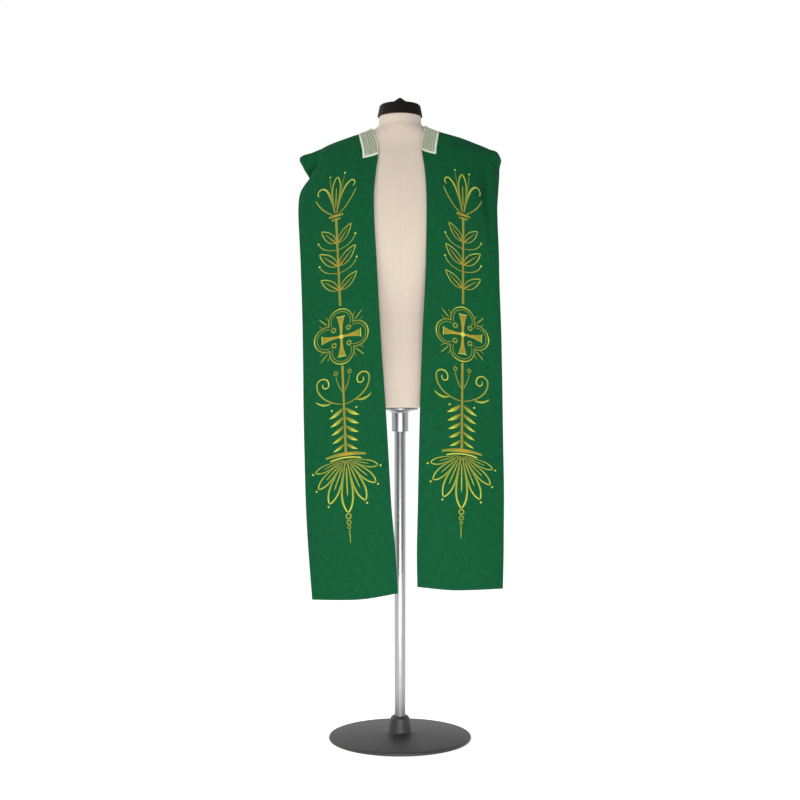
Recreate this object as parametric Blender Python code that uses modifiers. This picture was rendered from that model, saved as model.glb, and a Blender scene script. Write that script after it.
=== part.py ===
"""A clerical stole draped over a tailor's dress form, at real size.

Metres, +Z up. The front faces -Y, and the origin is on the floor under the middle of the form.
The stole is two shaped strips joined by a mitred seam at the centre back, each with a lace band
along its neck edge. It lies on the form's shoulders and hangs free below the chest.
"""

import math
from collections import namedtuple

import bmesh
import bpy
import numpy as np

# ---------------------------------------------------------------- driving sizes

SHOULDER_LEAN = 0.024  # rise of the shoulders towards +X, which stand a little uneven
LEAN_FOOT, LEAN_FULL = 1.30, 1.46  # heights between which that lean comes in
LEAN_END, LEVEL = 1.557, 1.580  # and goes again at the neck

CLOTH = 0.0020  # thickness of the lined cloth
LACE = 0.0008  # thickness of the lace band
SEAM_GAP = 0.0003  # between pieces that meet
SEAT_INSET = 0.0004  # the form lies this far inside the cloth that rests on it
SEAT_DROP = 0.0005  # and this far below it

RIDGE_RADIUS = 0.050  # the strip rolls over the shoulder on about this radius
BACK_LEAN = math.radians(44)  # each strip runs to the centre back at this angle to the vertical

HEM_CROWN = 0.010  # the middle of each hanging strip stands this far forward of its edges
CROWN_TOP, CROWN_FULL = 1.25, 0.60  # heights between which that crown grows

TORSO_BOTTOM = 0.840
NECK_TOP = 1.586
CAP_TOP = 1.6236
POLE_RADIUS = 0.0140
BASE_RADIUS = 0.180
BASE_THICK = 0.012

# A level cut of a body: half width to each side, depth to the front and to the back of the
# shoulder ridge, and how square it is (2 is an ellipse).
Ring = namedtuple("Ring", "height half_width front back square")

# The body that the cloth lies on: the form's shoulders, filled out at their ends and below the
# chest to where the stiff cloth hangs by itself.
DRAPE = [
    Ring(1.5570, 0.0545, 0.0550, 0.0560, 2.0),
    Ring(1.5495, 0.0612, 0.0577, 0.0600, 2.0),
    Ring(1.5443, 0.0686, 0.0595, 0.0620, 2.0),
    Ring(1.5335, 0.0940, 0.0615, 0.0650, 2.0),
    Ring(1.5243, 0.1250, 0.0630, 0.0675, 2.0),
    Ring(1.5145, 0.1570, 0.0650, 0.0705, 2.0),
    Ring(1.5065, 0.1780, 0.0670, 0.0725, 2.0),
    Ring(1.4970, 0.2000, 0.0702, 0.0757, 2.0),
    Ring(1.4885, 0.2210, 0.0737, 0.0789, 2.0),
    Ring(1.4750, 0.2440, 0.0804, 0.0849, 2.0),
    Ring(1.4600, 0.2560, 0.0870, 0.0913, 2.0),
    Ring(1.4400, 0.2640, 0.0960, 0.0990, 2.0),
    Ring(1.4000, 0.2780, 0.1110, 0.1100, 2.0),
    Ring(1.3500, 0.3000, 0.1240, 0.1180, 2.0),
    Ring(1.3000, 0.3250, 0.1310, 0.1215, 2.0),
    Ring(1.2500, 0.3500, 0.1338, 0.1225, 2.0),
    Ring(1.2000, 0.3750, 0.1345, 0.1225, 2.0),
    Ring(1.0000, 0.4200, 0.1345, 0.1225, 2.0),
    Ring(0.3500, 0.4200, 0.1345, 0.1225, 2.0),
]

# The form below the shoulder line, down to its flat underside.
TORSO = [
    Ring(1.4970, 0.1940, 0.0702, 0.0757, 2.00),
    Ring(1.4885, 0.2030, 0.0737, 0.0789, 2.00),
    Ring(1.4750, 0.2085, 0.0804, 0.0849, 2.05),
    Ring(1.4600, 0.2100, 0.0868, 0.0910, 2.10),
    Ring(1.4400, 0.2090, 0.0950, 0.0980, 2.15),
    Ring(1.4000, 0.2030, 0.1095, 0.1085, 2.20),
    Ring(1.3500, 0.1920, 0.1225, 0.1165, 2.30),
    Ring(1.3000, 0.1820, 0.1300, 0.1200, 2.40),
    Ring(1.2500, 0.1750, 0.1325, 0.1190, 2.40),
    Ring(1.2000, 0.1680, 0.1290, 0.1130, 2.35),
    Ring(1.1300, 0.1540, 0.1160, 0.0990, 2.25),
    Ring(1.0700, 0.1480, 0.1080, 0.0920, 2.20),
    Ring(1.0000, 0.1560, 0.1100, 0.1000, 2.20),
    Ring(0.9200, 0.1720, 0.1150, 0.1150, 2.25),
    Ring(0.8700, 0.1750, 0.1140, 0.1190, 2.25),
    Ring(TORSO_BOTTOM, 0.1720, 0.1120, 0.1180, 2.25),
]

# The neck of the form, above the cloth.
NECK = [
    Ring(NECK_TOP, 0.0535, 0.0535, 0.0535, 2.0),
    Ring(1.5720, 0.0530, 0.0535, 0.0540, 2.0),
]

# The two long edges of each strip, as distances from the middle of the form, and how far the
# outer edge is drawn in towards the neck by a fold there.
Edges = namedtuple("Edges", "height neck_edge outer_edge drawn_in")

LEFT_EDGES = [
    Edges(1.5443, 0.0686, 0.2475, 0.0000),
    Edges(1.4755, 0.0547, 0.2475, 0.0000),
    Edges(1.4600, 0.0565, 0.2485, 0.0040),
    Edges(1.4400, 0.0597, 0.2505, 0.0160),
    Edges(1.4250, 0.0616, 0.2514, 0.0200),
    Edges(1.4100, 0.0631, 0.2514, 0.0220),
    Edges(1.3950, 0.0644, 0.2513, 0.0150),
    Edges(1.3800, 0.0654, 0.2510, 0.0065),
    Edges(1.3600, 0.0662, 0.2506, 0.0010),
    Edges(1.3300, 0.0658, 0.2502, 0.0000),
    Edges(1.2000, 0.0588, 0.2440, 0.0000),
    Edges(1.0000, 0.0478, 0.2377, 0.0000),
    Edges(0.8000, 0.0331, 0.2352, 0.0000),
    Edges(0.6000, 0.0221, 0.2300, 0.0000),
    Edges(0.5000, 0.0135, 0.2242, 0.0000),
    Edges(0.3700, 0.0050, 0.2140, 0.0000),
]

RIGHT_EDGES = [
    Edges(1.5495, 0.0612, 0.2565, 0.0000),
    Edges(1.4830, 0.0575, 0.2565, 0.0000),
    Edges(1.4600, 0.0595, 0.2565, 0.0000),
    Edges(1.4300, 0.0620, 0.2530, 0.0000),
    Edges(1.3800, 0.0660, 0.2470, 0.0000),
    Edges(1.3300, 0.0668, 0.2430, 0.0000),
    Edges(1.2000, 0.0637, 0.2410, 0.0000),
    Edges(1.0000, 0.0546, 0.2465, 0.0000),
    Edges(0.8000, 0.0490, 0.2502, 0.0000),
    Edges(0.6000, 0.0441, 0.2530, 0.0000),
    Edges(0.4800, 0.0417, 0.2525, 0.0000),
    Edges(0.3700, 0.0440, 0.2510, 0.0000),
]

# Heights of the hem at the neck edge, at mid width and at the outer edge.
LEFT_HEM = (0.3865, 0.3715, 0.3685)
RIGHT_HEM = (0.4020, 0.3940, 0.3945)

# Folds in a strip. A fold runs between two places, each a share of the width from the neck edge
# and a distance below the shoulder line. Its height is negative where the cloth sinks.
Fold = namedtuple("Fold", "across down to_across to_down half_width height")

LEFT_FOLDS = [
    Fold(1.00, 0.050, 0.68, 0.010, 0.020, -0.0085),  # drawn in under the shoulder's end
    Fold(1.00, 0.000, 0.96, 0.020, 0.015, 0.0070),  # the end itself stands up
]
RIGHT_FOLDS = [
    Fold(1.00, 0.030, 1.00, 0.280, 0.030, -0.0090),  # the outer edge turns back
    Fold(0.86, 0.060, 0.82, 0.300, 0.016, 0.0020),
]

# Where the middle of the two shoulder lines starts and ends.
MEAN_NECK_X = (LEFT_EDGES[0].neck_edge + RIGHT_EDGES[0].neck_edge) / 2
MEAN_OUTER_X = (LEFT_EDGES[0].outer_edge + RIGHT_EDGES[0].outer_edge) / 2

COLUMNS = 15  # cells across a strip
LACE_COLUMNS = 3  # of those, from the neck edge, that the lace covers
BACK_ROWS = 13  # cells from the centre back to the shoulder line
SHOULDER_STEP = 0.0094  # length of the first cells down the front
SHOULDER_ROWS = 12  # how many cells have that length; the lace ends with them
LACE_END = (0.75, 0.10)  # how far its end reaches into the next cell, at its two edges
STEP_GROWTH = 1.16
HANGING_STEP = 0.042  # length of the longest cells

TORSO_SEGMENTS = 48
ROUND_SEGMENTS = 40


# ---------------------------------------------------------------- curves and bodies


def curve_through(places, values):
    """A smooth curve through the given values that makes no waves of its own."""
    order = np.argsort(places)
    x = np.array(places, float)[order]
    y = np.array(values, float)[order]
    slope = np.diff(y) / np.diff(x)
    product = slope[1:] * slope[:-1]
    total = slope[1:] + slope[:-1]
    middle = np.where(product > 0, 2 * product / np.where(total == 0, 1, total), 0)
    tangent = np.concatenate([slope[:1], middle, slope[-1:]])

    def at(place):
        place = np.clip(place, x[0], x[-1])
        i = np.clip(np.searchsorted(x, place) - 1, 0, len(x) - 2)
        span = x[i + 1] - x[i]
        t = (place - x[i]) / span
        start = y[i] * (1 + 2 * t) * (1 - t) ** 2 + span * tangent[i] * t * (1 - t) ** 2
        end = y[i + 1] * t**2 * (3 - 2 * t) + span * tangent[i + 1] * t**2 * (t - 1)
        return start + end

    return at


def curves_of(rows):
    """One smooth curve over the height for each other column of a table."""
    heights = [row.height for row in rows]
    names = rows[0]._fields[1:]
    return {name: curve_through(heights, [getattr(r, name) for r in rows]) for name in names}


drape = curves_of(DRAPE)
shoulder_heights = np.linspace(DRAPE[0].height, 1.43, 400)
shoulder_widths = drape["half_width"](shoulder_heights)


def shoulder_height(x):
    """Height of the shoulder line of the draped body at a distance from the middle."""
    return np.interp(x, shoulder_widths, shoulder_heights)


def drape_depth(x, height, depth):
    """How far in front of the ridge, or behind it, the inside of the draped cloth lies."""
    share = np.clip(x / drape["half_width"](height), 0, 1)
    return drape[depth](height) * np.sqrt(1 - share**2)


def rolled(distance):
    """Drop of a strip that has gone this far over the rounded shoulder."""
    return np.sqrt(RIDGE_RADIUS**2 + distance**2) - RIDGE_RADIUS


def smooth_step(value, low, high):
    t = np.clip((value - low) / (high - low), 0, 1)
    return t * t * (3 - 2 * t)


def leaned(height, x):
    """Height with the lean of the shoulders."""
    share = smooth_step(height, LEAN_FOOT, LEAN_FULL) - smooth_step(height, LEAN_END, LEVEL)
    return height + SHOULDER_LEAN * x * share


# ---------------------------------------------------------------- the strip's surface


class Strip:
    """One half of the stole: from the centre-back seam over one shoulder to its hem."""

    def __init__(self, side, edges, hem, folds):
        self.side = side
        self.edges = curves_of(edges)
        self.folds = folds
        self.neck_x = edges[0].neck_edge
        self.outer_x = edges[0].outer_edge
        self.hem = curve_through((0, 0.5, 1), hem)

    def ridge(self, across):
        """Distance from the middle and height of the shoulder line, across the strip."""
        x = self.neck_x + (self.outer_x - self.neck_x) * across
        return x, shoulder_height(x)

    def back_point(self, across, share):
        """A point on the back, at a share of the way from the shoulder to the seam.

        Both halves end on the same seam, so each one eases from its own shoulder line to theirs.
        """
        ridge_x, ridge_z = self.ridge(across)
        mean_x = MEAN_NECK_X + (MEAN_OUTER_X - MEAN_NECK_X) * across
        mean_z = shoulder_height(mean_x)
        x = np.maximum(ridge_x * (1 - share), SEAM_GAP / 2)
        z = mean_z - rolled(share * mean_x / math.tan(BACK_LEAN)) + (ridge_z - mean_z) * (1 - share)
        return np.stack([x, drape_depth(x, z, "back"), z], -1)

    def front_height(self, across, share):
        ridge_z = self.ridge(across)[1]
        return ridge_z + (self.hem(across) - ridge_z) * share

    def front_point(self, across, share):
        """A point on the front, at a share of the drop from the shoulder to the hem."""
        z = self.front_height(across, share)
        neck = self.edges["neck_edge"](self.front_height(0.0, share))
        outer_z = self.front_height(1.0, share)
        outer = self.edges["outer_edge"](outer_z)
        drawn_in = self.edges["drawn_in"](outer_z)
        x = neck + (outer - neck) * across - drawn_in * across**3
        crown = HEM_CROWN * (1 - (2 * across - 1) ** 2)
        crown = crown * (1 - smooth_step(z, CROWN_FULL, CROWN_TOP))
        return np.stack([x, -drape_depth(x, z, "front") - crown, z], -1)

    def back_shares(self):
        """Shares of the way from the shoulder line to the seam, from the seam on."""
        return (np.arange(BACK_ROWS, 0, -1) / BACK_ROWS) ** 2

    def front_shares(self):
        """Shares of the drop down the front: even steps along the cloth, then growing ones."""
        length = self.ridge(0.0)[1] - self.hem(0.0) + RIDGE_RADIUS
        places = [SHOULDER_STEP * k for k in range(SHOULDER_ROWS + 1)]
        step = SHOULDER_STEP
        while places[-1] < length:
            step = min(step * STEP_GROWTH, HANGING_STEP)
            places.append(places[-1] + step)
        drops = rolled(np.array(places))
        return drops / drops[-1]

    def relief(self, across, down):
        """How far the folds move the cloth out, at a distance below the shoulder line."""
        width = self.outer_x - self.neck_x
        place = np.stack([across * width, down], -1)
        out = np.zeros(place.shape[:-1])
        for fold in self.folds:
            start = np.array([fold.across * width, fold.down])
            run = np.array([fold.to_across * width, fold.to_down]) - start
            t = np.clip((place - start) @ run / (run @ run), 0, 1)
            away = np.linalg.norm(place - start - t[..., None] * run, axis=-1)
            fade = 1 - smooth_step(t, 0.4, 1.0)
            out += fold.height * fade * np.exp(-((away / fold.half_width) ** 2))
        return out

    def sheet(self):
        """Points of the strip's inner face, row by row from the seam to the hem, and normals."""
        across = np.linspace(0, 1, COLUMNS + 1)[None, :]
        back = self.back_point(across, self.back_shares()[:, None])
        front = self.front_point(across, self.front_shares()[:, None])
        points = np.concatenate([back, front])
        normals = outward(points)
        down = self.ridge(across)[1] - points[..., 2]
        down[: len(back)] *= -1
        across = np.broadcast_to(across, down.shape)
        points = points + normals * self.relief(across, down)[..., None]
        points[..., 2] = leaned(points[..., 2], self.side * points[..., 0])
        return points, outward(points)


def outward(points):
    """Unit normals of a sheet of points, pointing away from the form."""
    normal = np.cross(np.gradient(points, axis=0), np.gradient(points, axis=1))
    return normal / np.linalg.norm(normal, axis=-1, keepdims=True)


# ---------------------------------------------------------------- building the pieces


def clear_scene():
    for obj in list(bpy.data.objects):
        bpy.data.objects.remove(obj)


def new_collection(name):
    collection = bpy.data.collections.new(name)
    bpy.context.scene.collection.children.link(collection)
    return collection


def material(name, colour, roughness, metallic=0.0):
    made = bpy.data.materials.new(name)
    made.use_nodes = True
    shader = made.node_tree.nodes["Principled BSDF"]
    shader.inputs["Base Color"].default_value = (*colour, 1)
    shader.inputs["Roughness"].default_value = roughness
    shader.inputs["Metallic"].default_value = metallic
    return made


def finish(obj, name, collection, look, smooth=True):
    """Names the object, moves it to the collection, and gives it its material."""
    obj.name = obj.data.name = name
    for holder in list(obj.users_collection):
        holder.objects.unlink(obj)
    collection.objects.link(obj)
    obj.data.materials.clear()
    obj.data.materials.append(look)
    if smooth and obj.type == "MESH":
        obj.data.shade_smooth()
        obj.data.set_sharp_from_angle(angle=math.radians(35))
    return obj


def cloth_wall(name, points, side, thick, collection, look):
    """A wall with this sheet of points as its inner face, on the given side of the form."""
    rows, columns = points.shape[:2]
    bpy.ops.mesh.primitive_grid_add(x_subdivisions=columns - 1, y_subdivisions=rows - 1, size=1)
    obj = bpy.context.object
    places = np.maximum(points, (SEAM_GAP / 2, -np.inf, -np.inf)) * (side, 1, 1)
    for vertex, place in zip(obj.data.vertices, places.reshape(-1, 3)):
        vertex.co = place
    if side > 0:
        obj.data.flip_normals()
    wall = obj.modifiers.new("wall", "SOLIDIFY")
    wall.thickness = thick
    wall.offset = 1
    return finish(obj, name, collection, look)


def turned(name, profile, collection, look):
    """A solid turned about the Z axis. The profile runs down its outer side, axis to axis."""
    mesh = bpy.data.meshes.new(name)
    edges = [(i, i + 1) for i in range(len(profile) - 1)]
    mesh.from_pydata([(radius, 0, height) for radius, height in profile], edges, [])
    obj = bpy.data.objects.new(name, mesh)
    collection.objects.link(obj)
    screw = obj.modifiers.new("turn", "SCREW")
    screw.steps = screw.render_steps = ROUND_SEGMENTS
    screw.use_merge_vertices = True
    screw.merge_threshold = 0.0001
    return finish(obj, name, collection, look)


def ring_points(ring, inset, segments):
    """Points round a level cut of the form, drawn in by the inset."""
    points = []
    for k in range(segments):
        angle = 2 * math.pi * k / segments
        c, s = math.cos(angle), math.sin(angle)
        depth = ring.back if s > 0 else ring.front
        x = (ring.half_width - inset) * math.copysign(abs(c) ** (2 / ring.square), c)
        y = (depth - inset) * math.copysign(abs(s) ** (2 / ring.square), s)
        points.append((x, y, float(leaned(ring.height, x))))
    return points


def ring_at(curves, height):
    return Ring(height, *(float(curves[name](height)) for name in Ring._fields[1:]))


def torso_rings():
    """Rings of the form from its neck's top down to its underside."""
    seat, bare = TORSO[0].height, DRAPE[0].height
    under_cloth = [ring for ring in DRAPE if ring.height > seat]
    curves = curves_of(NECK + under_cloth + TORSO)
    shoulders = np.arange(seat, bare, 0.0050)
    chest = np.arange(1.36, seat - 0.006, 0.0140)
    body = np.arange(0.875, 1.35, 0.0340)
    heights = [NECK[0].height, NECK[1].height, *shoulders, *chest, *body, TORSO_BOTTOM]
    rings = []
    for height in sorted(heights, reverse=True):
        ring = ring_at(curves, height)
        covered = TORSO_BOTTOM < height < bare
        inset, drop = (SEAT_INSET, SEAT_DROP) if covered else (0, 0)
        rings.append(ring_points(ring._replace(height=height - drop), inset, TORSO_SEGMENTS))
    return rings


def lofted(name, rings, collection, look):
    """A closed solid through rings of equal count, given from the top down."""
    bm = bmesh.new()
    loops = [[bm.verts.new(point) for point in ring] for ring in rings]
    for above, below in zip(loops, loops[1:]):
        for k in range(len(above)):
            j = (k + 1) % len(above)
            bm.faces.new((above[k], below[k], below[j], above[j]))
    bm.faces.new(loops[0])
    bm.faces.new(reversed(loops[-1]))
    mesh = bpy.data.meshes.new(name)
    bm.to_mesh(mesh)
    bm.free()
    return finish(bpy.data.objects.new(name, mesh), name, collection, look)


# ---------------------------------------------------------------- the dress form


def build_form(collection):
    linen = material("form_linen", (0.74, 0.65, 0.56), 0.85)
    black = material("form_black", (0.018, 0.015, 0.014), 0.45)
    steel = material("form_steel", (0.42, 0.42, 0.43), 0.35, 0.9)

    lofted("form_torso", torso_rings(), collection, linen)

    # The neck cap: a slightly tapered drum with a low pointed crown.
    drum, shoulder, point = 0.0540, 0.0500, 0.0170
    foot, rim = NECK_TOP + SEAM_GAP, CAP_TOP - 0.0160
    cap = [
        (0, CAP_TOP),
        (0.0035, CAP_TOP - 0.0010),
        (point, rim + 0.0050),
        (shoulder - 0.0040, rim + 0.0015),
        (shoulder, rim - 0.0020),
        (drum, foot + 0.0015),
        (drum - 0.0012, foot),
        (0, foot),
    ]
    turned("form_neck_cap", cap, collection, black)

    # A flanged socket under the form takes the pole.
    flange_top = TORSO_BOTTOM - SEAM_GAP
    bore = POLE_RADIUS + SEAM_GAP
    socket = [
        (0, flange_top),
        (0.046, flange_top),
        (0.046, flange_top - 0.005),
        (0.023, flange_top - 0.009),
        (0.021, flange_top - 0.060),
        (bore, flange_top - 0.060),
        (bore, flange_top - 0.020),
        (0, flange_top - 0.020),
    ]
    turned("form_socket", socket, collection, steel)

    # The pole stands in the base's hub and reaches up into the socket.
    pole_foot = BASE_THICK + SEAM_GAP
    pole_top = flange_top - 0.020 - SEAM_GAP
    bpy.ops.mesh.primitive_cylinder_add(
        vertices=ROUND_SEGMENTS,
        radius=POLE_RADIUS,
        depth=pole_top - pole_foot,
        location=(0, 0, (pole_top + pole_foot) / 2),
    )
    finish(bpy.context.object, "form_pole", collection, steel)

    # A round weighted base with a hub that holds the pole.
    base = [
        (0, BASE_THICK),
        (bore, BASE_THICK),
        (bore, BASE_THICK + 0.045),
        (0.020, BASE_THICK + 0.045),
        (0.024, BASE_THICK + 0.040),
        (0.030, BASE_THICK + 0.006),
        (0.060, BASE_THICK + 0.002),
        (BASE_RADIUS - 0.004, BASE_THICK - 0.003),
        (BASE_RADIUS, BASE_THICK - 0.006),
        (BASE_RADIUS, 0.002),
        (BASE_RADIUS - 0.002, 0),
        (0, 0),
    ]
    turned("form_base", base, collection, black)


# ---------------------------------------------------------------- the stole


def build_stole(collection):
    green = material("stole_green", (0.012, 0.125, 0.047), 0.80)
    white = material("lace_white", (0.62, 0.68, 0.58), 0.80)
    halves = {
        "left": Strip(-1, LEFT_EDGES, LEFT_HEM, LEFT_FOLDS),
        "right": Strip(1, RIGHT_EDGES, RIGHT_HEM, RIGHT_FOLDS),
    }
    for name, strip in halves.items():
        points, normals = strip.sheet()
        cloth_wall(f"stole_{name}", points, strip.side, CLOTH, collection, green)
        rows, columns = BACK_ROWS + SHOULDER_ROWS + 1, LACE_COLUMNS + 1
        lifted = (points + normals * (CLOTH + SEAM_GAP))[:, :columns]
        reach = np.linspace(*LACE_END, columns)[:, None]
        end = lifted[rows - 1] + (lifted[rows] - lifted[rows - 1]) * reach
        lace = np.concatenate([lifted[:rows], end[None]])
        cloth_wall(f"lace_{name}", lace, strip.side, LACE, collection, white)


clear_scene()
model = new_collection("clerical_stole_on_form")
build_form(model)
build_stole(model)
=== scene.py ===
# %% [markdown]
# # A clerical stole on a dress form
#
# A stole is a long band of cloth that hangs from the shoulders to the knees. This one is green,
# with gold machine embroidery down both fronts and a strip of white lace round the neck that
# keeps the cloth clean. It is made of two strips that meet in a slanted seam at the centre back.
#
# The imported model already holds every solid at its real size, in flat faces. This script puts a
# finer piece in the place of each one, and adds the embroidery. Every length is in metres
# unless its comment says otherwise, +Z is up, and the front faces -Y.

import math
from collections import namedtuple

import bpy
import numpy as np
from mathutils import Matrix, Vector, noise


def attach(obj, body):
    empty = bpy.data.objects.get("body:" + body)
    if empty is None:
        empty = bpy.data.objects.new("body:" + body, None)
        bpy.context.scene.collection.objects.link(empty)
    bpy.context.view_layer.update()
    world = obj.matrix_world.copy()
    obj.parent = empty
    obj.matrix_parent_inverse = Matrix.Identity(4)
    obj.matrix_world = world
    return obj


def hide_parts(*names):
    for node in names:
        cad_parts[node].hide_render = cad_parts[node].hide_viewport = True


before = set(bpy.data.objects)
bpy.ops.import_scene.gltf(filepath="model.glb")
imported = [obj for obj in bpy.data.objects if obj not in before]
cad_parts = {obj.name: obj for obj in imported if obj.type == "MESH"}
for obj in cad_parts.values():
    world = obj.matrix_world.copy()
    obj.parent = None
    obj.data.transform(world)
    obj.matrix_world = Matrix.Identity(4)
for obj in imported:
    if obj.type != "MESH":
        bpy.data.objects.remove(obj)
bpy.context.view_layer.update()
print("Frame nodes:", sorted(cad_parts))

# %% [markdown]
# ## Small helpers
#
# Colours are written as sRGB hex values, the way a colour picker shows them. Blender's shaders
# work with linear light, so one function turns the one into the other. Another adds a shader
# node with its settings and its links in one go. An operator acts on whatever is selected, and
# loading leaves the frame selected, so everything is deselected before a piece is begun. A mesh
# is shaped by reading all its points as one array, and writing them back.

# %% Helpers for colours, nodes and selection


def linear(hex_colour):
    """An sRGB hex colour as linear light, with full opacity."""
    parts = [int(hex_colour[i : i + 2], 16) / 255 for i in (1, 3, 5)]
    return (*[p / 12.92 if p <= 0.04045 else ((p + 0.055) / 1.055) ** 2.4 for p in parts], 1.0)


def add_node(tree, kind, inputs=None, **settings):
    """Adds a node. An input gets a value, a socket to link to, or a node for its first socket."""
    node = tree.nodes.new(kind)
    for name, value in settings.items():
        setattr(node, name, value)
    for name, value in (inputs or {}).items():
        if isinstance(value, bpy.types.Node):
            value = value.outputs[0]
        if isinstance(value, bpy.types.NodeSocket):
            tree.links.new(value, node.inputs[name])
        else:
            node.inputs[name].default_value = value
    return node


def new_material(name, **surface):
    """A material with one Principled shader, whose sockets get the given constant values."""
    made = bpy.data.materials.new(name)
    made.use_nodes = True
    tree = made.node_tree
    shader = tree.nodes["Principled BSDF"]
    for socket, value in surface.items():
        shader.inputs[socket.replace("_", " ")].default_value = value
    return made, tree, shader


def deselect():
    """Leaves edit mode and selects nothing."""
    if bpy.context.object and bpy.context.object.mode != "OBJECT":
        bpy.ops.object.mode_set(mode="OBJECT")
    bpy.ops.object.select_all(action="DESELECT")


def coordinates(obj):
    """The points of a mesh, one row each."""
    places = np.empty(len(obj.data.vertices) * 3)
    obj.data.vertices.foreach_get("co", places)
    return places.reshape(-1, 3)


def set_coordinates(obj, places):
    """Moves the points of a mesh to these places."""
    obj.data.vertices.foreach_set("co", np.ascontiguousarray(places, float).ravel())
    obj.data.update()


print("linear('#808080') =", [round(c, 3) for c in linear("#808080")])

# %% [markdown]
# ## Camera, floor and light
#
# The camera stands level in front of the figure, at a little over half its height, with a short
# tele lens. The floor is a wide disc of pale board. The light is plain: a white room whose
# ceiling is darker, so that the shoulders don't glare, a soft lamp low in front that fills the
# hems, one high on the left that shows the folds, and one behind on the left for the edges.

# %% Camera
CAMERA_AWAY = 3.40
CAMERA_HEIGHT = 0.858
LENS = 60.26  # millimetres, on a sensor 36 mm wide
bpy.ops.object.camera_add(
    location=(0, -CAMERA_AWAY, CAMERA_HEIGHT), rotation=(math.radians(90), 0, 0)
)
camera = bpy.context.object
camera.data.sensor_width = 36
camera.data.lens = LENS
bpy.context.scene.camera = camera
bpy.context.scene.view_settings.view_transform = "Standard"
print("Camera", round(math.degrees(camera.data.angle), 1), "degrees wide")

# %% Floor
FLOOR_RADIUS = 60
FLOOR_DROP = 0.0005  # below the foot, so that the two faces don't flicker
deselect()
bpy.ops.mesh.primitive_circle_add(
    vertices=96, radius=FLOOR_RADIUS, fill_type="NGON", location=(0, 0, -FLOOR_DROP)
)
floor = bpy.context.object
floor.name = "studio_floor"
# matt paint on board, whose brushed coat varies a little; its glow keeps it as pale as the room
board, tree, shader = new_material("painted_white_board", Roughness=0.9, Emission_Strength=0.50)
grain = add_node(tree, "ShaderNodeTexNoise", {"Scale": 3.0, "Detail": 4.0})
shade = add_node(
    tree, "ShaderNodeMix", {0: grain, 6: linear("#F6F5F3"), 7: linear("#FCFBFA")}, data_type="RGBA"
)
tree.links.new(shade.outputs[2], shader.inputs["Base Color"])
floor.data.materials.append(board)
print(floor.name, "is", 2 * FLOOR_RADIUS, "m across, in", board.name)

# %% Room and lamps
room = bpy.data.worlds.new("white_room")
bpy.context.scene.world = room
room.use_nodes = True
sky = room.node_tree.nodes["Background"]
sky.inputs["Color"].default_value = (1, 1, 1, 1)
# the world's own Generated coordinates are the direction looked in, so Z is high overhead
toward = add_node(room.node_tree, "ShaderNodeTexCoord")
toward = add_node(room.node_tree, "ShaderNodeSeparateXYZ", {0: toward.outputs["Generated"]})
ceiling = add_node(room.node_tree, "ShaderNodeMapRange", {
    "Value": toward.outputs["Z"], "From Min": 0.36, "From Max": 0.80, "To Min": 1.0, "To Max": 0.35,
})
room.node_tree.links.new(ceiling.outputs[0], sky.inputs["Strength"])

Lamp = namedtuple("Lamp", "name place size watts")
LAMPS = [
    Lamp("low_softbox", (0.1, -1.7, 0.05), 1.0, 46),
    Lamp("high_softbox", (-1.5, -0.8, 2.9), 0.8, 21),
    Lamp("back_softbox", (-2.4, 1.6, 2.4), 1.2, 26),
]
AIM = Vector((0, 0, 1.0))  # the middle of the figure
for lamp in LAMPS:
    aim = (AIM - Vector(lamp.place)).to_track_quat("-Z", "Y").to_euler()
    bpy.ops.object.light_add(type="AREA", location=lamp.place, rotation=aim)
    light = bpy.context.object
    light.name = lamp.name
    light.data.size = lamp.size
    light.data.energy = lamp.watts
print("Lamps:", [lamp.name for lamp in LAMPS])

# %% [markdown]
# ## Where the cloth lies
#
# The frame's cloth solids come from a short set of measures: level cuts of the body that the
# cloth lies on, the two long edges of each strip, the heights of the hem, and the main folds.
# Much the same measures are used here, so that the fine cloth lies within a few millimetres of
# the solid. A smooth curve runs through each column of measures.

# %% The measures of the draped cloth
SHOULDER_LEAN = 0.024  # rise of the shoulders towards +X
LEAN_FOOT, LEAN_FULL = 1.30, 1.46  # heights where that lean begins and is whole
LEAN_END, LEVEL = 1.557, 1.576  # and where it fades again, up the neck
CLOTH = 0.0020  # thickness of the lined cloth
SEAM_GAP = 0.0003
RIDGE_RADIUS = 0.050  # of the cloth's bend over the shoulder
BACK_LEAN = math.radians(44)  # slant of the mitred seam across the strip
HEM_CROWN = 0.010  # how far a strip's middle stands out at the hem
CROWN_TOP, CROWN_FULL = 1.25, 0.60  # heights where that begins and is whole

# height, half width, depth in front, depth behind
DRAPE = np.array([
    (1.557, 0.0545, 0.055, 0.056), (1.5495, 0.0612, 0.0577, 0.06), (1.5443, 0.0686, 0.0595, 0.062),
    (1.5335, 0.094, 0.0615, 0.065), (1.5243, 0.125, 0.063, 0.0675), (1.5145, 0.157, 0.065, 0.0705),
    (1.5065, 0.178, 0.067, 0.0725), (1.497, 0.2, 0.0702, 0.0757), (1.4885, 0.221, 0.0737, 0.0789),
    (1.475, 0.244, 0.0804, 0.0849), (1.46, 0.256, 0.087, 0.0913), (1.44, 0.264, 0.096, 0.099),
    (1.4, 0.278, 0.111, 0.11), (1.35, 0.3, 0.124, 0.118), (1.3, 0.325, 0.131, 0.1215),
    (1.25, 0.35, 0.1338, 0.1225), (1.2, 0.375, 0.1345, 0.1225), (1.0, 0.42, 0.1345, 0.1225),
    (0.35, 0.42, 0.1345, 0.1225),
])

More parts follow.
